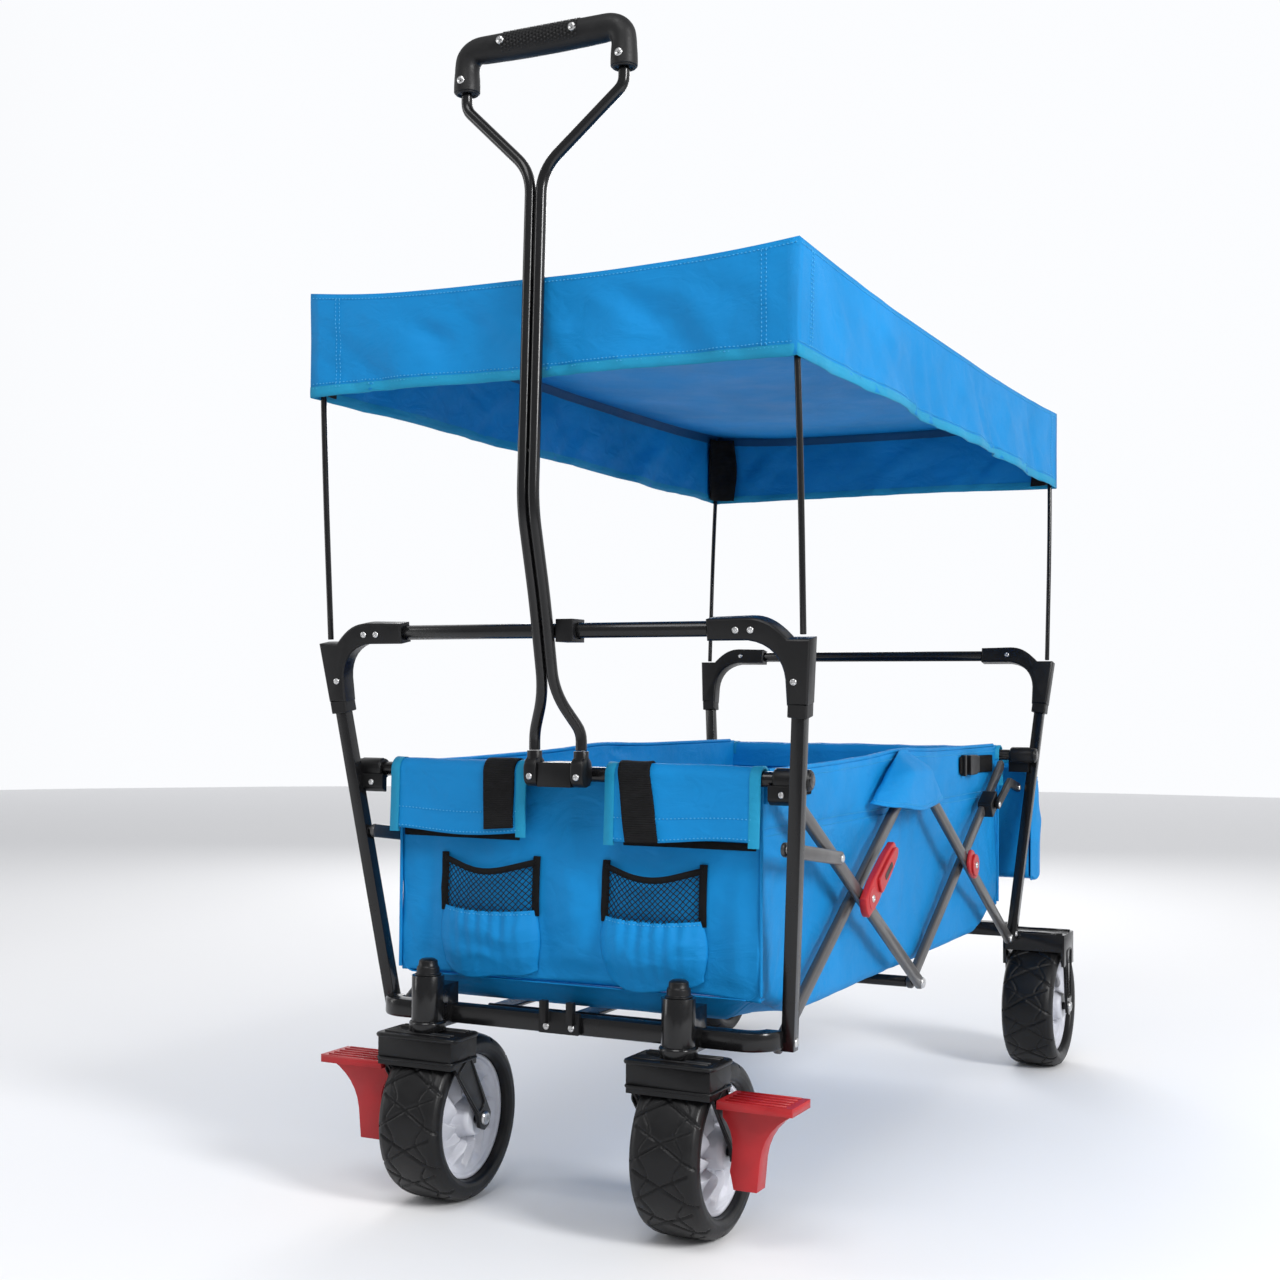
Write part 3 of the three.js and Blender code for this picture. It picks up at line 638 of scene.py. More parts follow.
def make_canopy_sleeve(sx, sy):
    """Black pocket in a corner of the canopy, which holds a pole's tip and so moves with its end frame."""
    place = f"{'front' if sy < 0 else 'rear'}_{'right' if sx > 0 else 'left'}"

    def point(s, t):
        angle = s * math.pi / 2
        reach = 32 + 3 * math.sin(t * 5 + sx)
        x = CANOPY_X - 8 - reach * (1 - math.sin(angle)) ** 1.2
        y = CANOPY_Y - 8 - reach * (1 - math.cos(angle)) ** 1.2
        return at(sx * x, sy * y, mix(CANOPY_TOP - 10, CANOPY_HEM + 3, t))

    end = "front" if sy < 0 else "rear"
    piece = make_cloth(f"canopy_sleeve_{place}", point, (14, 12), (0.055, 0.10), f"{end}_frame", "webbing",
                       "mesh_black", 0.0016, flip=sx * sy > 0)


make_canopy()


# ---------------------------------------------------------------- tub
TUB_X = 220.5
WALL_Y = 476
SEAM_Z = 411
FLOOR_Z = 211
HINGE_Y = 452


def tub_top(y):
    """Height of the side walls' upper edge: lowest near the front, highest over the scissors' hub."""
    hub = 4 * math.exp(-((y / 90) ** 2))
    return mix(474, 482, smooth(-470, 120, y)) + hub


def tub_base(y):
    """Height of the tub's lower edge, which is drawn up towards the two ends."""
    return FLOOR_Z + 30 * smooth(330, 478, abs(y)) ** 1.3


def tub_inset(y, z):
    """How far in from the frame the side wall lies, in mm."""
    creases = 4.2 * crumple(y * MM, z * MM, 21, 0.15) + 1.8 * crumple(y * MM, z * MM, 5, 0.05)
    rays = 0.0
    for hub_y, hub_z in ((0, 480), (-455, 220), (455, 250)):
        angle = math.atan2(z - hub_z, y - hub_y)
        distance = math.hypot(z - hub_z, y - hub_y)
        rays += 2.2 * math.sin(angle * 17 + hub_y) * math.exp(-distance / 130) * smooth(10, 60, distance)
    seam = 2.4 * math.exp(-(((z - SEAM_Z) / 4) ** 2))
    sag = 6 * smooth(440, 300, abs(y)) * math.sin(math.pi * smooth(210, 470, z))
    return max(0.6, 5.5 + creases + rays + sag) + seam


def tub_point(s, t):
    """The side walls and floor as one cloth: s runs along the cart and t from the right edge round to the left."""
    y = mix(-WALL_Y, WALL_Y, s)
    side = 1 if t < 0.5 else -1
    across = min(t, 1 - t) * 2
    top, base = tub_top(y), tub_base(y)
    wall_share, corner_share, radius = 0.50, 0.58, 14
    if across < wall_share:
        z = mix(top, base + radius, across / wall_share)
        return at(side * (TUB_X - tub_inset(y, z)), y, z)
    foot = TUB_X - tub_inset(y, base + radius)
    if across < corner_share:
        angle = (across - wall_share) / (corner_share - wall_share) * math.pi / 2
        x = foot - radius * (1 - math.cos(angle))
        return at(side * x, y, base + radius * (1 - math.sin(angle)))
    x = mix(foot - radius, 0, (across - corner_share) / (1 - corner_share))
    low = FLOOR_Z + 5 * smooth(340, HINGE_Y, abs(y)) + (base - FLOOR_Z) * smooth(HINGE_Y, WALL_Y, abs(y))
    level = mix(min(low, base), base, smooth(34, 0, foot - radius - x))
    return at(side * x, y, level + 1.2 * crumple(side * x * MM, y * MM, 31, 0.2))


FLOOR_SHARE = 0.29  # share of tub_point's t where a side wall's rounded foot ends and the floor begins


def make_tub_wall(side, k):
    """A side wall with its trims."""
    flat = (2 * WALL_Y * MM, 0.285)
    start = 0 if k > 0 else 1
    wall = make_cloth(f"tub_wall_{side}", lambda s, t: tub_point(s, abs(start - t * FLOOR_SHARE)), (150, 60), flat,
                      "centre", flip=k > 0)
    edge = [at(k * (TUB_X - tub_inset(y, tub_top(y))), y, tub_top(y)) for y in range(-WALL_Y + 22, WALL_Y - 16, 8)]
    trims = [make_tube(f"tub_edge_{side}", edge, 0.0026, "centre", "fabric_blue", "fabric_blue", 10)]
    for row, z in enumerate((SEAM_Z - 4, SEAM_Z + 4)):
        line = [at(k * (TUB_X - tub_inset(y, z)), y, z) for y in range(-WALL_Y + 4, WALL_Y, 6)]
        trims.append(make_stitches(f"tub_seam_{side}_{row}", line, Vector((k, 0, 0)), "centre"))
    line = [at(k * (TUB_X - tub_inset(y, tub_top(y) - 9)), y, tub_top(y) - 9) for y in range(-WALL_Y + 4, WALL_Y, 6)]
    trims.append(make_stitches(f"tub_edge_seam_{side}", line, Vector((k, 0, 0)), "centre"))
    for piece in [wall, make_hood(side, k)] + trims:
        fold_with_ends(piece)
    return wall


def make_tub_floor(name, low_y, high_y, body):
    """A length of the floor cloth that rides on a body under it."""
    low, high = (low_y + WALL_Y) / (2 * WALL_Y), (high_y + WALL_Y) / (2 * WALL_Y)
    line = [tub_point(mix(low, high, n / 20), 0.5) for n in range(21)]
    flat = (sum((b - a).length for a, b in zip(line, line[1:])), 0.41)
    floor = make_cloth(name, lambda s, t: tub_point(mix(low, high, s), mix(FLOOR_SHARE, 1 - FLOOR_SHARE, t)),
                       (max(4, int((high_y - low_y) / 7)), 50), flat, body, flip=True)


def make_tub_body():
    walls = [make_tub_wall(side, k) for side, k in SIDES.items()]
    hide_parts("tub_sides")
    make_tub_floor("tub_floor_front", -HINGE_Y, 0, "floor_front")
    make_tub_floor("tub_floor_rear", 0, HINGE_Y, "floor_rear")
    make_tub_floor("tub_floor_front_lip", -WALL_Y, -HINGE_Y, "front_frame")
    make_tub_floor("tub_floor_rear_lip", HINGE_Y, WALL_Y, "rear_frame")


HOOD_Y = -12
HOOD_FOOT = 414
HOOD_REACH = 132
HOOD_CUT = 0.092  # length of the flap's cloth in metres, out over the hub and down


def hood_point(k, s, t):
    """The flap over the scissors' top hub: s across from -1 to 1, t down from its point."""
    y = HOOD_Y + s * mix(13, HOOD_REACH, t ** 0.92)
    foot = HOOD_FOOT + 12 * abs(s) ** 5 - 3 * math.cos(s * 5)
    z = mix(tub_top(y) + 1.5, foot, t)
    cover = (1 - abs(s) ** 6) * smooth(0, 0.42, t)
    x = TUB_X + 1.4 + 27.0 * cover + 2.2 * crumple(y * MM, z * MM, 41, 0.05) * smooth(0.1, 0.5, t)
    return at(k * x, y, z)


def make_hood(side, k):
    piece = make_cloth(f"tub_hood_{side}", lambda s, t: hood_point(k, 2 * s - 1, t), (56, 26),
                       (2 * HOOD_REACH * MM, HOOD_CUT), "centre", flip=k < 0)
    rim = [hood_point(k, 2 * n / 60 - 1, 0.93) for n in range(61)]
    stitches = make_stitches(f"tub_hood_seam_{side}", rim, Vector((k, 0, 0)), "centre")
    fold_with_ends(stitches)
    return piece


make_tub_body()

# ---------------------------------------------------------------- end panels
RIM_Y, RIM_Z = 485.5, 467
PANEL_X = 217
APRON_RADIUS = 12.5


def panel_foot(x, end):
    """Height of an end panel's lower fold."""
    return 243 + 9 * math.exp(-(((x - 10) / 90) ** 2)) + 4 * math.sin(x * 0.024 + end)


def panel_point(end, s, t):
    """The wall of one end, from the floor up to the rim tube."""
    x = mix(-PANEL_X, PANEL_X, s)
    foot = panel_foot(x, end)
    fold_share = 0.12
    hold = math.sin(math.pi * min(1, t * 1.05)) ** 0.6
    slack = 8 * math.sin(math.pi * s) * math.sin(math.pi * min(1, t * 1.15)) ** 2
    drape = 4.5 * math.exp(-(((x - 22 + 34 * t) / 16) ** 2)) - 4.0 * math.exp(-(((x + 26 + 20 * t) / 13) ** 2))
    drape += 3.0 * math.exp(-(((x - 186 - 18 * t) / 12) ** 2)) - 3.5 * math.exp(-(((x + 183 - 12 * t) / 11) ** 2))
    soft = (5.0 * crumple(x * MM, t * 0.26, 51 + end, 0.10) + 1.6 * crumple(x * MM, t * 0.26, 55 + end, 0.04)) * hold
    soft += drape * hold * smooth(0.95, 0.4, t)
    if t < fold_share:
        u = t / fold_share
        y = mix(WALL_Y - 12, WALL_Y - 1, math.sin(u * math.pi / 2))
        z = mix(tub_base(WALL_Y - 12) + 2, foot, 1 - math.cos(u * math.pi / 2))
        return at(x, end * y, z)
    z = mix(foot, RIM_Z - 3, (t - fold_share) / (1 - fold_share))
    grown = smooth(fold_share, fold_share + 0.1, t)
    return at(x, end * (WALL_Y - 1 + grown * max(-2.5, slack + soft) * smooth(RIM_Z - 6, RIM_Z - 60, z)), z)


APRON_INSIDE = 26


def apron_surface(end, x, run):
    """The cloth over a rim tube: run is the distance from its edge inside the tub, over the tube and down outside."""
    over = math.pi * APRON_RADIUS
    if run < APRON_INSIDE:
        return at(x, end * (RIM_Y - APRON_RADIUS), RIM_Z - APRON_INSIDE + run)
    if run < APRON_INSIDE + over:
        angle = (run - APRON_INSIDE) / APRON_RADIUS
        radius = APRON_RADIUS + 1.2 * crumple(x * MM, 0.3, 61 + end, 0.06) * math.sin(angle)
        return at(x, end * (RIM_Y - radius * math.cos(angle)), RIM_Z + radius * math.sin(angle))
    fall = run - APRON_INSIDE - over
    free = smooth(0, 70, fall)
    wave = free * (3.4 * crumple(x * MM, fall * MM, 71 + end, 0.09) + 1.6)
    hem = 3.0 * math.sin(x * 0.03 + end) * free
    return at(x, end * (RIM_Y + APRON_RADIUS + wave), RIM_Z - fall - hem)


def apron_point(end, low_x, high_x, drop, s, t):
    """A flap's cloth, for s across it and t down it, each from 0 to 1."""
    return apron_surface(end, mix(low_x, high_x, s), t * (APRON_INSIDE + math.pi * APRON_RADIUS + drop))


def make_strip(name, point, body, width, offset, look, slot="fabric_blue", count=60):
    """Edge tape along point(t), which gives a place, the way out of the cloth and the way across it."""
    verts, uvs = [], []
    ring = [(-width, offset), (0, offset * 1.3), (0.001, 0), (0, -offset * 1.3), (-width, -offset)]
    for n in range(count + 1):
        place, out, across = point(n / count)
        for k, (a, b) in enumerate(ring):
            verts.append(place + across * a + out * b)
            uvs.append((n / count * 0.12, k * width / 4))
    faces = grid_faces(len(ring) - 1, count)
    return make_piece(name, verts, faces, look, body, slot, uvs)


def make_apron(name, end, low_x, high_x, drop, body):
    """One flap of cloth over a rim tube with taped ends and a stitched hem."""
    length = (APRON_INSIDE + math.pi * APRON_RADIUS + drop) * MM
    flat = ((high_x - low_x) * MM, length)
    piece = make_cloth(name, lambda s, t: apron_point(end, low_x, high_x, drop, s, t), (80, 54), flat, body,
                       flip=end > 0)
    for edge, s in (("low", 0), ("high", 1)):

        def tape(t, s=s):
            place = apron_point(end, low_x, high_x, drop + 5, s, 0.18 + 0.82 * t)
            later = apron_point(end, low_x, high_x, drop + 5, s, 0.18 + 0.82 * t + 0.01)
            across = Vector((1 if s else -1, 0, 0))
            out = (later - place).cross(across).normalized() * (1 if (s == 1) == (end < 0) else -1)
            return place + across * 0.0012, -out, across

        make_strip(f"{name}_tape_{edge}", tape, body, 0.011, 0.0014, "fabric_binding")
    for row, up in enumerate((3, 24)):
        t = 1 - up * MM / length
        line = [apron_point(end, low_x, high_x, drop, n / 100, t) for n in range(2, 99)]
        make_stitches(f"{name}_seam_{row}", line, Vector((0, end, 0)), body)
    return piece


def make_end_panel(place, end):
    body = f"{place}_frame"
    height = (RIM_Z - FLOOR_Z + 20) * MM
    flat = (2 * PANEL_X * MM, height)
    panel = make_cloth(f"tub_wall_{place}", lambda s, t: panel_point(end, s, t), (110, 70), flat, body, flip=end > 0)
    for side, k in SIDES.items():
        line = [at(k * (PANEL_X + 1), end * (WALL_Y + 1.5), z) for z in range(246, 466, 8)]
        make_tube(f"tub_piping_{place}_{side}", line, 0.0019, body, "fabric_blue", "fabric_blue", 8)
    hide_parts(f"tub_{place}")


make_end_panel("front", -1)
make_end_panel("rear", 1)
make_apron("apron_front_left", -1, -217, -48, 66, "front_frame")
make_apron("apron_front_right", -1, 51, 223, 66, "front_frame")
make_apron("apron_rear", 1, -219, 219, 40, "rear_frame")

# ---------------------------------------------------------------- webbing straps on the front apron
STRAP_OFF = 0.0022
FRONT = -1


def strap_point(left_top, right_top, left_foot, right_foot, drop, s, t):
    """A strap from inside the tub, over the rim and down the apron's face."""
    inside, over = 20, math.pi * APRON_RADIUS
    run = t * (inside + over + drop) + 6
    x = mix(mix(left_top, left_foot, t), mix(right_top, right_foot, t), s)
    here = apron_surface(FRONT, x, run)
    ahead = apron_surface(FRONT, x, run + 2) - here
    out = ahead.cross(Vector((1, 0, 0))).normalized()
    ripple = 0.8 * math.sin(t * 9 + x * 0.1)
    return here + out * (STRAP_OFF + ripple * MM * t)


def make_straps():
    for name, corners, drop in (("left", (-99, -60, -97, -60), 60), ("right", (57, 93, 75, 113), 66)):
        make_strap(f"strap_{name}", corners, drop)


def make_strap(name, corners, drop):
    length = (20 + math.pi * APRON_RADIUS + drop) * MM
    piece = make_cloth(name, lambda s, t: strap_point(*corners, drop, s, t), (12, 60), (0.038, length),
                       "front_frame", "webbing", "mesh_black", 0.0018)


make_straps()


# ---------------------------------------------------------------- pockets
POCKET_TOP, POCKET_SEAM, POCKET_FOOT = 370, 317, 243


def wall_out(x, z):
    """How far out the front wall stands at a place, in mm towards -Y."""
    foot = panel_foot(x, FRONT)
    t = 0.12 + 0.88 * (z - foot) / (RIM_Z - 3 - foot)
    here = panel_point(FRONT, (x + PANEL_X) / (2 * PANEL_X), min(max(t, 0.13), 1))
    return -(here.y / MM + MIDDLE_Y)


def pocket_bag_point(low_x, high_x, s, t):
    """Blue lower half of a pocket: gathered at the seam and full at the foot."""
    spread = 5 * math.sin(math.pi * min(1, t * 1.1))
    x = mix(low_x - spread, high_x + spread, s)
    edge = abs(2 * s - 1)
    foot = POCKET_FOOT + 13 * edge ** 4 + 3 * math.sin(x * 0.06)
    z = mix(POCKET_SEAM + 2 - 3 * math.sin(math.pi * s), foot, t)
    full = (1 - edge ** 5) * math.sin(math.pi * (0.18 + 0.74 * t)) ** 0.8
    pleats = 1.3 * math.sin(x * 0.42) * (1 - t) * (1 - edge ** 4)
    soft = 4.2 * crumple(x * MM, z * MM, 81, 0.045) * (1 - edge ** 4) * math.sin(math.pi * min(1, 0.1 + t))
    out = wall_out(x, z) + 1.6 + max(0.5, 14 * full + pleats + soft)
    return at(x, -out, z)


def pocket_rim(low_x, high_x, s):
    x = mix(low_x, high_x, s)
    z = POCKET_TOP - 11 * math.sin(math.pi * s) ** 1.3
    return at(x, -(wall_out(x, z) + 2.2 + 11 * math.sin(math.pi * s)), z)


def pocket_net_point(low_x, high_x, s, t):
    return pocket_rim(low_x, high_x, s).lerp(pocket_bag_point(low_x, high_x, s, 0.03), t)


def make_net(name, point, across, down, width, body):
    """Knotless net: thin diagonal strands over a surface."""
    verts, faces = [], []
    strands = []
    for j in range(down):
        for i in range(across):
            if (i + j) % 2 == 0:
                strands.append(((i, j), (i + 1, j + 1)))
            else:
                strands.append(((i + 1, j), (i, j + 1)))
    for (i0, j0), (i1, j1) in strands:
        a, b = point(i0 / across, j0 / down), point(i1 / across, j1 / down)
        ahead = (b - a).normalized()
        side = ahead.cross(Vector((0, -1, 0))).normalized() * width
        out = side.cross(ahead).normalized() * width * 0.8
        base = len(verts)
        for end in (a, b):
            verts += [end - side, end + out, end + side, end - out]
        faces += [(base + k, base + (k + 1) % 4, base + 4 + (k + 1) % 4, base + 4 + k) for k in range(4)]
    return make_piece(name, verts, faces, "net", body, "mesh_black")


def flat_section(width, depth, sides=14):
    ring = [(math.cos(2 * math.pi * i / sides), math.sin(2 * math.pi * i / sides)) for i in range(sides)]
    return lambda share: [(width * a, depth * b) for a, b in ring]


def make_band(name, line, width, depth, body, look="webbing", slot="mesh_black", first_side=Vector((0, 0, 1))):
    """A flat band swept along a line, with its width along first_side."""
    verts, faces = sweep(line, flat_section(width / 2, depth / 2), first_side)
    return make_piece(name, verts, faces, look, body, slot)


def make_pocket(name, low_x, high_x):
    body = "front_frame"
    bag = make_cloth(f"{name}_bag", lambda s, t: pocket_bag_point(low_x, high_x, s, t), (56, 40),
                     (0.135, 0.085), body)
    net = make_net(f"{name}_net", lambda s, t: pocket_net_point(low_x, high_x, s, t), 34, 15, 0.00055, body)
    rim = [pocket_rim(low_x, high_x, n / 40) for n in range(41)]
    trims = [make_band(f"{name}_elastic", rim, 0.007, 0.0034, body)]
    for edge, x in (("low", low_x), ("high", high_x)):
        line = [at(x, -(wall_out(x, z) + 2.4), z) for z in range(POCKET_SEAM - 4, POCKET_TOP + 9, 4)]
        trims.append(make_band(f"{name}_tab_{edge}", line, 0.009, 0.0026, body, first_side=Vector((1, 0, 0))))
    seam = [pocket_bag_point(low_x, high_x, n / 60, 0.05) for n in range(2, 59)]
    trims.append(make_stitches(f"{name}_seam", seam, Vector((0, -1, 0)), body))


make_pocket("pocket_left", -157, -41)
make_pocket("pocket_right", 44, 155)


def make_band_under_apron():
    """A thin black band on the front wall, just under the apron's hem."""
    for name, low_x, high_x in (("left", -214, -60), ("right", 62, 215)):
        line = [at(x, -(wall_out(x, 397) + 1.6), 397) for x in range(low_x, high_x, 6)]
        make_band(f"wall_band_under_apron_{name}", line, 0.008, 0.0022, "front_frame")


make_band_under_apron()


# ---------------------------------------------------------------- rear bag
BAG_X, BAG_FRONT, BAG_REAR = 258, 520, 584
BAG_TOP, BAG_FOOT = 449, 281
BAG_ROUND = 24


def bag_plan(s):
    """A place on the bag's outline in plan, with the way out of it: from the left side round to the right."""
    side, back = BAG_REAR - BAG_FRONT - BAG_ROUND, 2 * (BAG_X - BAG_ROUND)
    arc = BAG_ROUND * math.pi / 2
    run = s * (2 * side + 2 * arc + back)
    if run < side:
        return -BAG_X, BAG_FRONT + run, -1, 0
    run -= side
    if run < arc:
        turn = run / BAG_ROUND
        nx, ny = -math.cos(turn), math.sin(turn)
        return -BAG_X + BAG_ROUND + BAG_ROUND * nx, BAG_REAR - BAG_ROUND + BAG_ROUND * ny, nx, ny
    run -= arc
    if run < back:
        return -BAG_X + BAG_ROUND + run, BAG_REAR, 0, 1
    run -= back
    if run < arc:
        turn = run / BAG_ROUND
        nx, ny = math.sin(turn), math.cos(turn)
        return BAG_X - BAG_ROUND + BAG_ROUND * nx, BAG_REAR - BAG_ROUND + BAG_ROUND * ny, nx, ny
    run -= arc
    return BAG_X, BAG_REAR - BAG_ROUND - run, 1, 0


def bag_point(s, t):
    x, y, nx, ny = bag_plan(s)
    wall = min(1.0, t / 0.76)
    rim = 4 * math.sin(s * 24) + 3 * math.sin(s * 61 + 1)
    z = mix(BAG_TOP + rim, BAG_FOOT, wall)
    hold = min(1, s / 0.04, (1 - s) / 0.04)
    soft = 6 * crumple(s * 0.7, wall * 0.17, 91, 0.07) + 4 * math.sin(math.pi * wall) - 3 * smooth(0.25, 0, wall)
    x, y = x + nx * soft * hold, y + ny * soft * hold
    if t > 0.76:
        under = (t - 0.76) / 0.24
        y = mix(y, BAG_FRONT + 1, under)
        z -= 5 * math.sin(math.pi * under)
    return at(x, y, z)


def bag_back_point(s, t):
    x = mix(-BAG_X + 3, BAG_X - 3, s)
    z = mix(BAG_TOP + 3 * math.sin(s * 19), BAG_FOOT, t)
    return at(x, BAG_FRONT - 0.5 + 1.2 * crumple(x * MM, z * MM, 95), z)


def make_rear_bag():
    body = "rear_frame"
    side, back = BAG_REAR - BAG_FRONT - BAG_ROUND, 2 * (BAG_X - BAG_ROUND)
    around = (2 * side + math.pi * BAG_ROUND + back) * MM
    bag = make_cloth("rear_bag_shell", bag_point, (170, 56), (around, 0.23), body, flip=True)
    lining = make_cloth("rear_bag_back", bag_back_point, (60, 20), (2 * BAG_X * MM, 0.17), body)
    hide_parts("rear_bag")
    rim = [bag_point(n / 180, 0) for n in range(181)]
    trims = [make_band("rear_bag_elastic", rim, 0.009, 0.0036, body, "fabric_binding", "fabric_blue")]
    for row, t in enumerate((0.09, 0.12)):
        line = [bag_point(n / 180, t) for n in range(2, 179)]
        trims.append(make_stitches(f"rear_bag_seam_{row}", line, Vector((0, 1, 0)), body))
    for k, x in enumerate((-150, 150)):
        line = [at(x, RIM_Y + 15, 462), at(x, RIM_Y + 22, 440), at(x, BAG_FRONT - 3, 425), at(x, BAG_FRONT - 2, 330)]
        band = make_band(f"rear_bag_strap_{k}", bent(line, 12), 0.025, 0.002, body, first_side=Vector((1, 0, 0)))
        trims.append(band)


make_rear_bag()

# ---------------------------------------------------------------- wheels
WHEEL_R, WHEEL_W, RIM_R = 90, 75, 67
CASTER_X, CASTER_Y, CASTER_TRAIL = 149, -527, 45
REAR_X, REAR_Y = 271, 518
TREAD_REPEATS = 13
TREAD_DEPTH = 2.6


def groove(distance, width):
    """1 in the middle of a groove and 0 outside it."""
    return 1 - smooth(width * 0.5, width, abs(distance))


def repeat(value, period):
    """Distance from the nearest whole period."""
    return value - period * round(value / period)


def tread_cut(run, x):
    """How deep the tread is cut, from 0 to 1, at a distance round the tyre and across it in mm."""
    period = 2 * math.pi * WHEEL_R / TREAD_REPEATS
    reach = abs(x)
    cut = 0.0
    if reach < 36:
        cut = max(cut, groove(repeat(run - 0.62 * reach, period) * 0.85, 1.5))
    if reach < 30:
        cut = max(cut, groove(repeat(run + 0.50 * reach, period) * 0.9, 1.3) * 0.9)
    if reach > 9:
        zigzag = 5 * math.sin(2 * math.pi * run / period)
        cut = max(cut, groove(reach - 19 - zigzag, 1.2) * 0.6)
    return cut


def tyre_profile():
    """(radius, offset along the axle) from one bead over the tread to the other."""
    half = WHEEL_W / 2
    side = [(RIM_R + 0.4, half - 6), (RIM_R + 2, half - 2.2), (RIM_R + 6, half - 0.3), (RIM_R + 11, half),
            (WHEEL_R - 8, half - 1.2), (WHEEL_R - 4, half - 4), (WHEEL_R - 1.6, half - 9), (WHEEL_R - 0.5, half - 15),
            (WHEEL_R - 0.1, half - 24), (WHEEL_R, half - 33)]
    fine = []
    for (r0, x0), (r1, x1) in zip(side, side[1:]):
        count = max(1, int(math.hypot(r1 - r0, x1 - x0) / 1.5))
        fine += [(mix(r0, r1, k / count), mix(x0, x1, k / count)) for k in range(count)]
    fine.append((WHEEL_R, 2.2))
    fine.append((WHEEL_R + 0.0, 0.0))
    return fine + [(r, -x) for r, x in reversed(fine[:-1])]


def tyre_mesh():
    profile, turns = tyre_profile(), 416
    verts = []
    for r, x in profile:
        for n in range(turns):
            angle = 2 * math.pi * n / turns
            on_tread = smooth(RIM_R + 12, RIM_R + 18, r)
            ridge = 0.9 * groove(x, 2.2) if r > WHEEL_R - 1 else 0
            depth = TREAD_DEPTH * tread_cut(angle * WHEEL_R, x) * on_tread - ridge * 0
            rings = 0.5 * math.sin(r * 2.2) * (1 - on_tread) * smooth(RIM_R + 1, RIM_R + 4, r)
            radius = r - depth
            verts.append(Vector((x + rings * math.copysign(0.5, x), radius * math.cos(angle), radius * math.sin(angle))) * MM)
    faces = grid_faces(turns, len(profile) - 1, wrap=True)
    last = (len(profile) - 1) * turns
    faces += [(last + n, last + (n + 1) % turns, (n + 1) % turns, n) for n in range(turns)]
    return verts, faces


BLADES = 11


def rim_height(r, angle):
    """Offset of the rim's face from its middle plane, in mm: turbine blades between hub and rim."""
    half = WHEEL_W / 2 - 4
    hub, ring, edge = smooth(23, 19, r), smooth(52, 57, r), smooth(60, 63, r)
    dish = mix(half - 17, half + 2.5, hub)
    swirl = 0.55 * (r - 20) / 40
    saw = ((angle + swirl) * BLADES / (2 * math.pi)) % 1
    blade = (1 - saw) ** 0.9 * smooth(0, 0.07, saw)
    blades = 12.5 * blade * smooth(21, 30, r) * (1 - 0.35 * smooth(34, 52, r))
    lip = 7.0 * ring + 3.5 * edge
    step = 0.9 * groove(r - 61.2, 0.9)
    return dish + blades * (1 - ring) * (1 - hub) + lip - step


def rim_mesh():
    radii = [6, 9, 13, 17, 19, 20.5, 22] + [24 + k * 1.6 for k in range(20)] + [56, 57.5, 59.5, 60.3, 61, 61.6, 62.3, 63, 65, 66.6]
    turns = 264
    verts, rows = [], 0
    for side in (1, -1):
        ring_order = radii if side > 0 else list(reversed(radii))
        for r in ring_order:
            rows += 1
            for n in range(turns):
                angle = 2 * math.pi * n / turns
                verts.append(Vector((side * rim_height(r, side * angle), r * math.cos(angle), r * math.sin(angle))) * MM)
    faces = grid_faces(turns, rows - 1, wrap=True)
    last = (rows - 1) * turns
    faces += [(last + n, last + (n + 1) % turns, (n + 1) % turns, n) for n in range(turns)]
    return verts, faces


def make_wheels():
    places = {
        "front_right": (CASTER_X, CASTER_Y + CASTER_TRAIL),
        "front_left": (-CASTER_X, CASTER_Y + CASTER_TRAIL),
        "rear_right": (REAR_X, REAR_Y),
        "rear_left": (-REAR_X, REAR_Y),
    }
    for part, (verts, faces), look in (("tyre", tyre_mesh(), "tyre"), ("rim", rim_mesh(), "rim")):
        first = None
        for place, (x, y) in places.items():
            centre = at(x, y, WHEEL_R)
            body = f"wheel_{place}"
            if first is None:
                piece = make_piece(f"{part}_{place}_detail", verts, faces, look, body, part)
                first = piece
            else:
                piece = bpy.data.objects.new(f"{part}_{place}_detail", first.data)
                bpy.context.scene.collection.objects.link(piece)
            piece.parent = None
            piece.matrix_world = Matrix.Translation(centre)
            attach(piece, body)
            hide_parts(f"{part}_{place}")


make_wheels()


# ---------------------------------------------------------------- tubes and grip
HANDLE_Y, HANDLE_Z, HANDLE_FOOT_X, TWIN_X = -512, 466, 28, 6.4
GRIP_X, GRIP_FOOT, GRIP_TOP = 94, 1193, 1238
GRIP_Y = -555


def make_handle():
    for side, k in SIDES.items():
        points = [at(k * HANDLE_FOOT_X, HANDLE_Y, HANDLE_Z + 26.5), at(k * HANDLE_FOOT_X, HANDLE_Y, HANDLE_Z + 46),
                  at(k * TWIN_X, HANDLE_Y - 21, HANDLE_Z + 88), at(k * TWIN_X, HANDLE_Y - 42, 650),
                  at(k * TWIN_X, HANDLE_Y - 69, 745), at(k * TWIN_X, HANDLE_Y - 57, 1094),
                  at(k * GRIP_X, HANDLE_Y - 43, 1176), at(k * GRIP_X, HANDLE_Y - 43, GRIP_FOOT)]
        tube = make_tube(f"handle_tube_{side}_detail", bent(points, 24 * MM), 6 * MM, "handle", "frame_black",
                         "frame_black", 24)
        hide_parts(f"handle_tube_{side}")
    weld = bent([at(-3.5, HANDLE_Y - 64, 800), at(0, HANDLE_Y - 67, 802), at(3.5, HANDLE_Y - 64, 804)], 2 * MM)
    make_tube("handle_weld", weld, 1.6 * MM, "handle", "steel", "steel", 10)


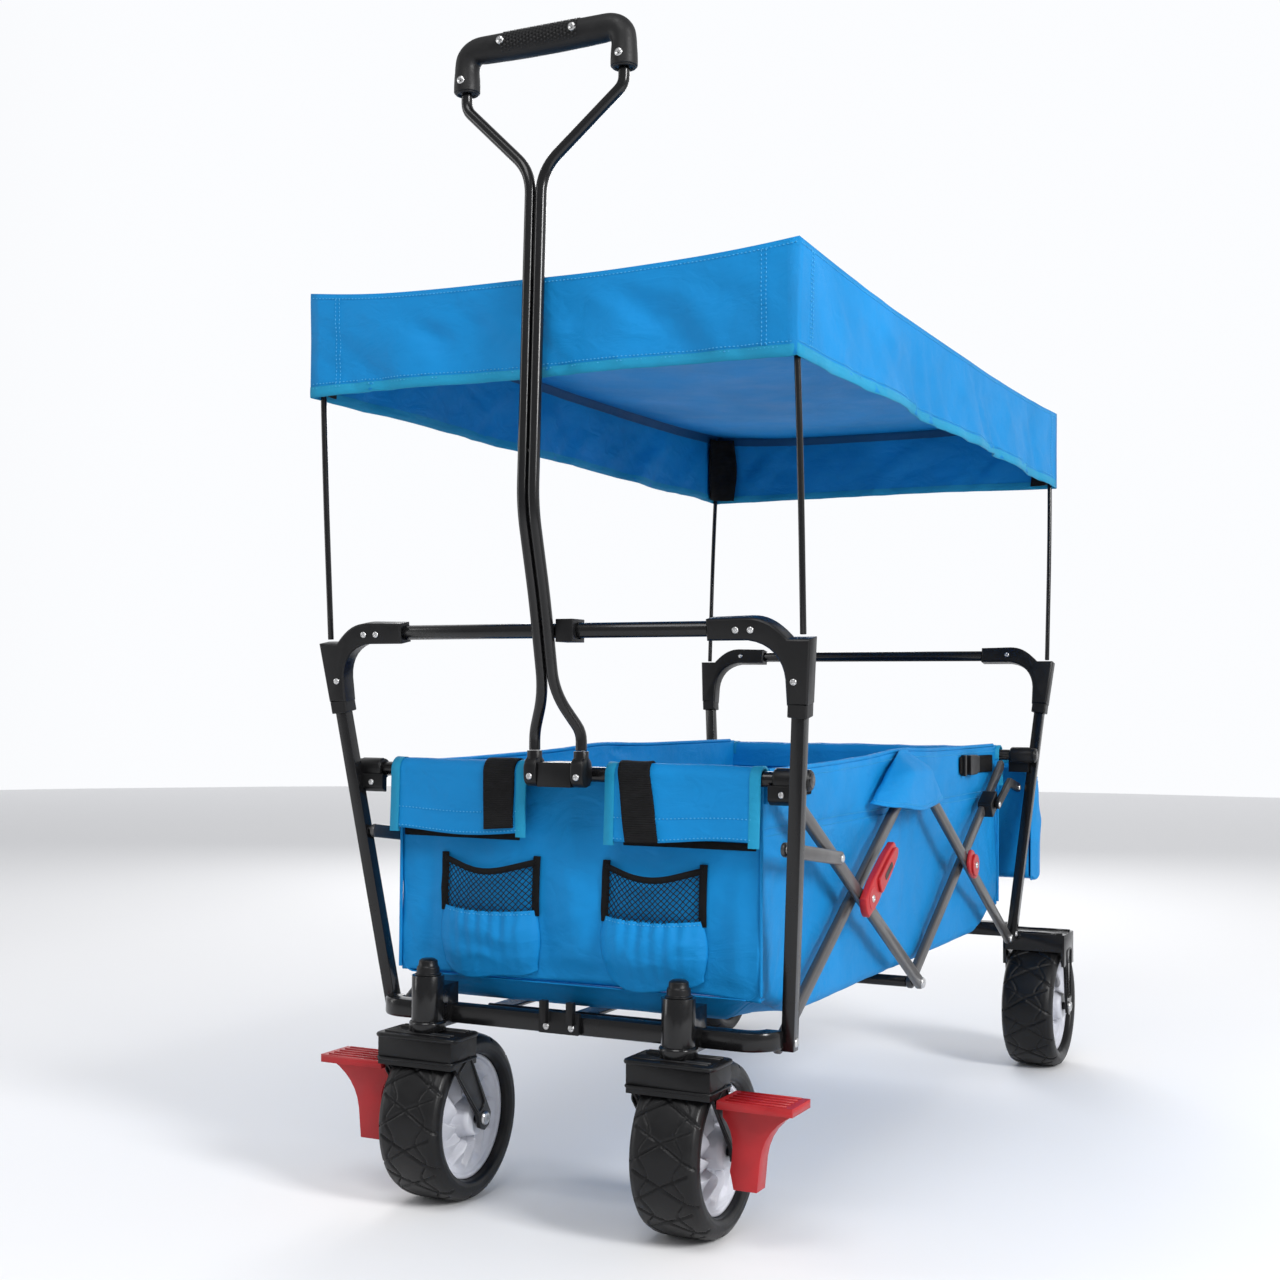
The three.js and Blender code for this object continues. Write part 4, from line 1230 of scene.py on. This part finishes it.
def make_grip():
    corner = 38
    points = [at(-GRIP_X, GRIP_Y, GRIP_FOOT + 1), at(-GRIP_X, GRIP_Y, GRIP_TOP), at(GRIP_X, GRIP_Y, GRIP_TOP),
              at(GRIP_X, GRIP_Y, GRIP_FOOT + 1)]
    line = bent(points, corner * MM, 0.002)
    sides = 40

    def section(share):
        middle = 1 - abs(2 * share - 1)
        belly = smooth(0.38, 0.95, middle)
        collar = smooth(0.075, 0.045, middle)
        rows = []
        for n in range(sides):
            angle = 2 * math.pi * n / sides
            radius = 13.2 + 0.9 * collar
            a, b = math.cos(angle), math.sin(angle)
            if a < 0:
                radius += 3.0 * belly * (-a) ** 1.4
            radius += 0.9 * smooth(0.14, 0.30, middle) * max(0, a)
            rows.append((radius * a * MM, radius * b * MM))
        return rows

    verts, faces = sweep(line, section, first_side=Vector((-1, 0, 0)))
    uvs = [((k // sides) / len(line) * 0.30, (k % sides) / sides * 0.088) for k in range(len(verts))]
    grip = make_piece("handle_grip_detail", verts, faces, "grip", "handle", "grip", uvs)
    soften(grip, 0.0012, 50)
    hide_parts("handle_grip")
    for k in (-1, 1):
        ring = [at(k * GRIP_X + 11 * math.cos(a), GRIP_Y + 11 * math.sin(a), GRIP_FOOT + 1)
                for a in [2 * math.pi * n / 24 for n in range(25)]]
        make_tube(f"grip_lip_{'right' if k > 0 else 'left'}", ring, 1.8 * MM, "handle", "grip", "grip", 8)
    make_grip_texture()


def make_grip_texture():
    """Rows of small raised diamonds on the grip's middle."""
    verts, faces = [], []
    pitch, half_length = 4.0, 46
    for i in range(int(-half_length / pitch), int(half_length / pitch) + 1):
        for n in range(-5, 6):
            angle = math.radians(n * 16 + (8 if i % 2 else 0))
            radius = 13.6 + 0.9 * max(0, math.cos(angle)) + 0.15
            x = i * pitch
            out = Vector((0, -math.sin(angle + math.pi / 2), math.cos(angle + math.pi / 2)))
            centre = at(x, GRIP_Y, GRIP_TOP) + out * radius * MM
            side = out.cross(Vector((1, 0, 0)))
            base = len(verts)
            verts += [centre + Vector((1.7, 0, 0)) * MM, centre + side * 1.7 * MM, centre - Vector((1.7, 0, 0)) * MM,
                      centre - side * 1.7 * MM, centre + out * 0.9 * MM]
            faces += [(base, base + 1, base + 4), (base + 1, base + 2, base + 4), (base + 2, base + 3, base + 4),
                      (base + 3, base, base + 4)]
    make_piece("grip_knurl", verts, faces, "grip", "handle", "grip", flat=True)


make_handle()
make_grip()


# ---------------------------------------------------------------- screws and rivets
def head_mesh(radius, dome, recess):
    """A screw or rivet head on the plane z = 0; recess is cross, hex or none."""
    rings, turns = 10, 32
    verts = [Vector((0, 0, dome - (dome * 0.55 if recess != "none" else 0)))]
    for k in range(1, rings + 1):
        r = radius * k / rings
        for n in range(turns):
            angle = 2 * math.pi * n / turns
            x, y = r * math.cos(angle), r * math.sin(angle)
            height = dome * math.sqrt(max(0.0, 1 - (k / rings) ** 2.6))
            if recess == "cross" and min(abs(x), abs(y)) < radius * 0.13 and r < radius * 0.62:
                height -= dome * 0.6
            if recess == "hex" and r < radius * 0.48:
                height -= dome * 0.6
            verts.append(Vector((x, y, height)))
    faces = [(0, 1 + n, 1 + (n + 1) % turns) for n in range(turns)]
    for k in range(rings - 1):
        a, b = 1 + k * turns, 1 + (k + 1) * turns
        faces += [(a + n, b + n, b + (n + 1) % turns, a + (n + 1) % turns) for n in range(turns)]
    rim = 1 + (rings - 1) * turns
    base = len(verts)
    verts += [v.copy() for v in verts[rim:rim + turns]]
    for v in verts[base:]:
        v.z = -radius * 0.35
    faces += [(rim + n, base + n, base + (n + 1) % turns, rim + (n + 1) % turns) for n in range(turns)]
    faces.append(tuple(reversed(range(base, base + turns))))
    return verts, faces


def make_heads(name, body, heads, look="steel", slot="steel"):
    """One piece of several heads; each is (place, way out, radius in mm, recess)."""
    verts, faces = [], []
    for place, out, radius, recess in heads:
        turn = Vector((0, 0, 1)).rotation_difference(Vector(out).normalized()).to_matrix()
        local, quads = head_mesh(radius * MM, radius * MM * 0.42, recess)
        base = len(verts)
        verts += [place + turn @ v for v in local]
        faces += [tuple(base + i for i in f) for f in quads]
    return make_piece(name, verts, faces, look, body, slot)


def make_screws():
    lean = math.radians(10)
    for end_name, end in ENDS.items():
        out = Vector((0, end * math.cos(lean), end * -math.sin(lean) * end))
        heads = []
        for k in (1, -1):
            for across, up in ((230, 76), (214, 76), (272, 24)):
                y = end * (516 + math.sin(lean) * up + 11.2 * math.cos(lean))
                z = 543 + math.cos(lean) * up - 11.2 * math.sin(lean)
                heads.append((at(k * across, y, z), out, 3.6, "cross"))
            inner_y = end * (516 + math.sin(lean) * 76 - 11.2 * math.cos(lean))
            heads.append((at(k * 222, inner_y, 543 + 75 + 2), -out, 3.6, "cross"))
        make_heads(f"bracket_screws_{end_name}", f"{end_name}_frame", heads)
    make_heads("clip_screws", "front_frame",
               [(at(x, -505.5, 201), (0, -1, 0), 3.8, "cross") for x in (-15, 15)])
    make_heads("grip_screws", "handle", [
        (at(-GRIP_X, GRIP_Y - 13.2, GRIP_FOOT + 12), (0, -1, 0), 4.6, "hex"),
        (at(GRIP_X, GRIP_Y - 13.2, GRIP_FOOT + 12), (0, -1, 0), 4.6, "hex"),
        (at(-46, GRIP_Y - 13.8, GRIP_TOP + 2), (0, -1, 0), 4.6, "hex"),
        (at(40, GRIP_Y - 13.8, GRIP_TOP + 2), (0, -1, 0), 4.6, "hex"),
    ])
    make_heads("yoke_screws", "handle",
               [(at(k * HANDLE_FOOT_X, HANDLE_Y - 12, HANDLE_Z - 1), (0, -1, 0), 3.6, "cross") for k in (-1, 1)])


make_screws()


def arm_point(start, end, share):
    return mix(start[0], end[0], share), mix(start[1], end[1], share)


def make_side_hardware(side, k):
    out = Vector((k, 0, 0))
    low, high, run = SCISSOR_LOW, SCISSOR_HIGH, SCISSOR_RUN
    middle = (low + high) / 2
    outer = 244.2
    make_heads(f"front_down_rivets_{side}", f"scissor_front_down_{side}",
               [(at(k * outer, 0, low), out, 7.0, "none"), (at(k * 248.5, -run * 0.7055, low + 257 * 0.7055), out, 5.0, "none")])
    make_heads(f"rear_down_rivets_{side}", f"scissor_rear_down_{side}",
               [(at(k * outer, run, low), out, 6.5, "none"), (at(k * 252.6, run / 2, middle), out, 4.6, "cross")])
    make_heads(f"lever_screw_{side}", f"lock_lever_{side}", [(at(k * 254.2, -run / 2, middle), out, 4.6, "cross")])
    make_heads(f"front_link_rivet_{side}", f"front_link_{side}",
               [(at(k * 250.1, -488, 397), out, 4.2, "none"), (at(k * 250.1, -run * 0.7055, low + 257 * 0.7055), out, 4.6, "none")])
    make_heads(f"rear_link_rivet_{side}", f"rear_link_{side}",
               [(at(k * 250.1, 484, 418), out, 4.2, "none"), (at(k * 250.1, 362.6, 398.8), out, 4.4, "none")])
    for name, foot_y in (("front", -454), ("rear", 472)):
        make_heads(f"post_foot_bolt_{name}_{side}", f"{name}_frame",
                   [(at(k * 247.5, foot_y, 199), out, 5.0, "hex")])
    make_knuckle(side, k)
    make_slide_block(side, k)
    make_lever_detail(side, k)


def make_plate(name, outline, low_x, high_x, k, body, look, slot, edge=0.0012):
    """An outline in (y, z) millimetres, extruded between two planes of x on side k."""
    count = len(outline)
    verts = [at(k * low_x, y, z) for y, z in outline] + [at(k * high_x, y, z) for y, z in outline]
    faces = [tuple(range(count)), tuple(reversed(range(count, 2 * count)))]
    faces += [(n, n + count, (n + 1) % count + count, (n + 1) % count) for n in range(count)]
    if k > 0:
        faces = [tuple(reversed(f)) for f in faces]
    piece = make_piece(name, verts, faces, look, body, slot)
    soften(piece, edge, 35, 3)
    return piece


def along_arm(centre, angle, points):
    """Turns (distance along, distance across) pairs into (y, z) pairs beside a slanting tube."""
    c, s = math.cos(angle), math.sin(angle)
    return [(centre[0] + a * c - b * s, centre[1] + a * s + b * c) for a, b in points]


def rounded(points, reach, steps=5):
    """A closed outline with rounded corners."""
    made = []
    count = len(points)
    for n in range(count):
        here, before, after = (Vector(points[n]), Vector(points[n - 1]), Vector(points[(n + 1) % count]))
        cut = min(reach, (before - here).length / 2.1, (after - here).length / 2.1)
        a = here + (before - here).normalized() * cut
        b = here + (after - here).normalized() * cut
        for k in range(steps + 1):
            t = k / steps
            p = (1 - t) ** 2 * a + 2 * t * (1 - t) * here + t * t * b
            made.append((p.x, p.y))
    return made


def make_knuckle(side, k):
    """Red moulded joint round the outer tube at the rear crossing."""
    centre = (SCISSOR_RUN / 2, (SCISSOR_LOW + SCISSOR_HIGH) / 2)
    body = f"scissor_rear_down_{side}"
    shell = [(-25, -11), (-12, -17), (10, -16), (24, -9), (24, 9), (10, 15), (-14, 17), (-25, 11)]
    outline = rounded(along_arm(centre, -REST_ANGLE, shell), 9)
    make_plate(f"knuckle_{side}", outline, 244.3, 249.5, k, body, "plastic_red", "plastic_red", 0.002)
    disc = [(15 * math.cos(2 * math.pi * n / 32), 15 * math.sin(2 * math.pi * n / 32)) for n in range(32)]
    boss = along_arm(centre, 0, disc)
    make_plate(f"knuckle_boss_{side}", boss, 249.3, 252.4, k, body, "plastic_red", "plastic_red", 0.0012)


def make_lever_detail(side, k):
    """Raised lever on the lock's plate; its finger slot is a thin black patch, painted shade of the recess."""
    centre = (-SCISSOR_RUN / 2, (SCISSOR_LOW + SCISSOR_HIGH) / 2)
    body = f"lock_lever_{side}"
    raised = [(22, -10), (60, -9), (92, -5), (100, 3), (92, 9), (62, 11), (22, 11)]
    make_plate(f"lever_raised_{side}", rounded(along_arm(centre, REST_ANGLE, raised), 7), 253.8, 257.5, k, body,
               "plastic_red", "plastic_red", 0.0014)
    # Painted shade: the finger slot's recess is a thin black patch on the red lever.
    slot = [(40, -3.5), (70, -3.0), (70, 4.0), (40, 4.5)]
    make_plate(f"lever_slot_painted_shade_{side}", rounded(along_arm(centre, REST_ANGLE, slot), 4), 257.3, 257.9, k, body,
               "plastic_black", "plastic_black", 0.0002)
    disc = [(13 * math.cos(2 * math.pi * n / 32), 13 * math.sin(2 * math.pi * n / 32)) for n in range(32)]
    make_plate(f"lever_boss_{side}", along_arm(centre, 0, disc), 253.8, 254.6, k, body, "plastic_red",
               "plastic_red", 0.0004)


def make_slide_block(side, k):
    centre = (SCISSOR_RUN * 0.797, SCISSOR_LOW + 257 * 0.797)
    block = rounded(along_arm(centre, REST_ANGLE, [(-19, -12), (19, -12), (19, 12), (-19, 12)]), 5)
    make_plate(f"slide_block_{side}", block, 222.8, 243.5, k, f"scissor_rear_up_{side}", "plastic_black",
               "plastic_black", 0.0016)


for side, k in SIDES.items():
    make_side_hardware(side, k)


# ---------------------------------------------------------------- sockets, buckles and caster details
def turned_ring(profile, turns=36):
    """A lathe along +X: profile is (offset along the axis, radius) in mm; the ends are closed."""
    verts = [Vector((a, r * math.cos(2 * math.pi * n / turns), r * math.sin(2 * math.pi * n / turns))) * MM
             for a, r in profile for n in range(turns)]
    faces = grid_faces(turns, len(profile) - 1, wrap=True)
    faces.append(tuple(reversed(range(turns))))
    faces.append(tuple(range((len(profile) - 1) * turns, len(profile) * turns)))
    return verts, faces


def make_turned(name, profile, place, axis, body, look, slot, edge=0.0008):
    verts, faces = turned_ring(profile)
    turn = Vector((1, 0, 0)).rotation_difference(Vector(axis)).to_matrix()
    piece = make_piece(name, [place + turn @ v for v in verts], faces, look, body, slot)
    soften(piece, edge, 35)
    return piece


def make_bracket_lips():
    """The corner bracket's lip round the top of each post."""
    half = 10.5 * MM
    square = rounded([(-half, -half), (half, -half), (half, half), (-half, half)], 3 * MM)
    for end_name, end in ENDS.items():
        for side, k in SIDES.items():
            foot = at(k * 240, -454 if end < 0 else 472, 190)
            head = at(k * 274, end * 516, 543)
            line = [foot.lerp(head, share) for share in (0.965, 0.98, 1.004)]
            verts, faces = sweep(line, lambda share: square)
            lip = make_piece(f"bracket_lip_{end_name}_{side}", verts, faces, "plastic_black", f"{end_name}_frame",
                             "plastic_black")
            soften(lip, 0.001, 35)


def make_rim_sockets():
    for end_name, end in ENDS.items():
        body = f"{end_name}_frame"
        for side, k in SIDES.items():
            make_turned(f"rim_socket_{end_name}_{side}", [(0, 10.5), (2, 12), (28, 12), (30, 11), (37, 11), (39, 9.5)],
                        at(k * 236, end * RIM_Y, RIM_Z), (k, 0, 0), body, "plastic_black", "plastic_black")
            face = end * (RIM_Y + 3)
            outline = rounded([(face, 460), (face + end * 9, 462), (face + end * 9, 446), (face, 440)], 3)
            make_plate(f"rim_bracket_{end_name}_{side}", outline, 232, 262, k, body, "plastic_black", "plastic_black")
            make_heads(f"rim_bracket_screw_{end_name}_{side}", body,
                       [(at(k * 247, end * (RIM_Y + 12.4), 452), (0, end, 0), 3.4, "cross")])


def make_caster_details(side, k):
    x = k * CASTER_X
    make_turned(f"caster_cap_{side}", [(0, 14), (3, 14.5), (4, 12.5), (10, 12.2), (12, 10.5), (17, 10), (19, 7)],
                at(x, CASTER_Y, 246.5), (0, 0, 1), "front_frame", "plastic_black", "plastic_black")
    make_turned(f"caster_collar_{side}", [(0, 19.5), (1, 20), (9, 20), (11, 18.5)], at(x, CASTER_Y, 188.5), (0, 0, 1),
                "front_frame", "frame_black", "frame_black")
    body = f"caster_{side}"
    corners = rounded([(-47.5, -27.5), (47.5, -27.5), (47.5, 27.5), (-47.5, 27.5)], 8)
    for row, (z, thick) in enumerate(((184.5, 2.6), (160, 1.6))):
        line = [at(x + a, CASTER_Y + b, z) for a, b in corners]
        make_tube(f"fork_step_{side}_{row}", line + [line[0]], thick * MM, body, "plastic_black", "plastic_black", 8)
    for row, y in enumerate((CASTER_Y - 19, CASTER_Y - 12, CASTER_Y + 12, CASTER_Y + 19)):
        line = [at(x - 41, y, 187.4), at(x + 41, y, 187.4)]
        make_band(f"fork_rib_{side}_{row}", line, 0.0042, 0.0034, body, "plastic_black", "plastic_black",
                  Vector((0, 1, 0)))
    for arm, way in (("outer", k), ("inner", -k)):
        face = x + way * 46.2
        add_fork_arm(f"caster_arm_{arm}_{side}", face, way, (CASTER_Y, 155), (CASTER_Y + CASTER_TRAIL, 92), body)


def add_fork_arm(name, face, way, top, foot, body):
    """Raised lip round a fork arm's recess, and the axle's cap nut."""
    axis = Vector((foot[0] - top[0], foot[1] - top[1]))
    ahead = axis.normalized()
    across = Vector((-ahead.y, ahead.x))
    corners = [Vector(top) + across * 15, Vector(top) - across * 15, Vector(foot) - across * 8 - ahead * 12,
               Vector(foot) + across * 8 - ahead * 12]
    outline = rounded([tuple(c) for c in corners], 6)
    line = [at(face, y, z) for y, z in outline]
    line.append(line[0])
    make_tube(f"{name}_lip", line, 1.3 * MM, body, "plastic_black", "plastic_black", 8)
    make_heads(f"{name}_nut", body, [(at(face, *foot) + Vector((way * 0.4 * MM, 0, -2 * MM)), (way, 0, 0), 7.5, "hex")])


def make_rear_fork_details(side, k):
    for arm, way in (("outer", k), ("inner", -k)):
        face = k * REAR_X + way * 46.2
        add_fork_arm(f"rear_arm_{arm}_{side}", face, way, (REAR_Y - 4, 176), (REAR_Y, 92), "rear_frame")
    for row, y in enumerate((REAR_Y - 30, REAR_Y + 22)):
        line = [at(k * REAR_X - 42, y, 200.6), at(k * REAR_X + 42, y, 200.6)]
        make_band(f"rear_fork_rib_{side}_{row}", line, 0.0042, 0.0034, "rear_frame", "frame_black", "frame_black",
                  Vector((0, 1, 0)))


def make_brake_details(side, k):
    """Grip bars on the brake's tread."""
    body = f"brake_pedal_{side}"
    x0 = CASTER_X + 46 + 2.5
    for row in range(5):
        y = CASTER_Y - 11 + row * 10
        line = [at(k * (x0 + 8), y, 153.8), at(k * (x0 + 72), y, 153.8)]
        make_band(f"brake_bar_{side}_{row}", line, 0.003, 0.0022, body, "plastic_red", "plastic_red",
                  Vector((0, 1, 0)))


def make_buckles(side, k):
    """Side-release buckle and webbing between the rim and the tub's side."""
    z = 457

    def out(y):
        return k * (TUB_X - tub_inset(y, z) + 3.0)

    body_line = [at(out(y), y, z - (y - 300) * 0.01) for y in range(258, 446, 6)]
    webbing = make_band(f"buckle_webbing_{side}", body_line, 0.025, 0.002, "centre", first_side=Vector((0, 0, 1)))
    fold_with_ends(webbing)
    for part, low_y, high_y, half, thick in (("female", 292, 330, 14, 9), ("male", 332, 350, 12, 7),
                                              ("loop", 270, 279, 15, 5)):
        face = abs(out((low_y + high_y) / 2))
        outline = rounded([(low_y, z - half), (high_y, z - half), (high_y, z + half), (low_y, z + half)], 3)
        piece = make_plate(f"buckle_{part}_{side}", outline, face - 2, face + thick, k, "centre", "plastic_black",
                           "plastic_black", 0.0014)
        fold_with_ends(piece)
    front_line = [at(out(-y), -y, z) for y in range(335, 450, 6)]
    strap = make_band(f"front_webbing_{side}", front_line, 0.024, 0.0022, "centre", first_side=Vector((0, 0, 1)))
    fold_with_ends(strap)


make_bracket_lips()
make_rim_sockets()
for side, k in SIDES.items():
    make_caster_details(side, k)
    make_rear_fork_details(side, k)
    make_brake_details(side, k)
    make_buckles(side, k)
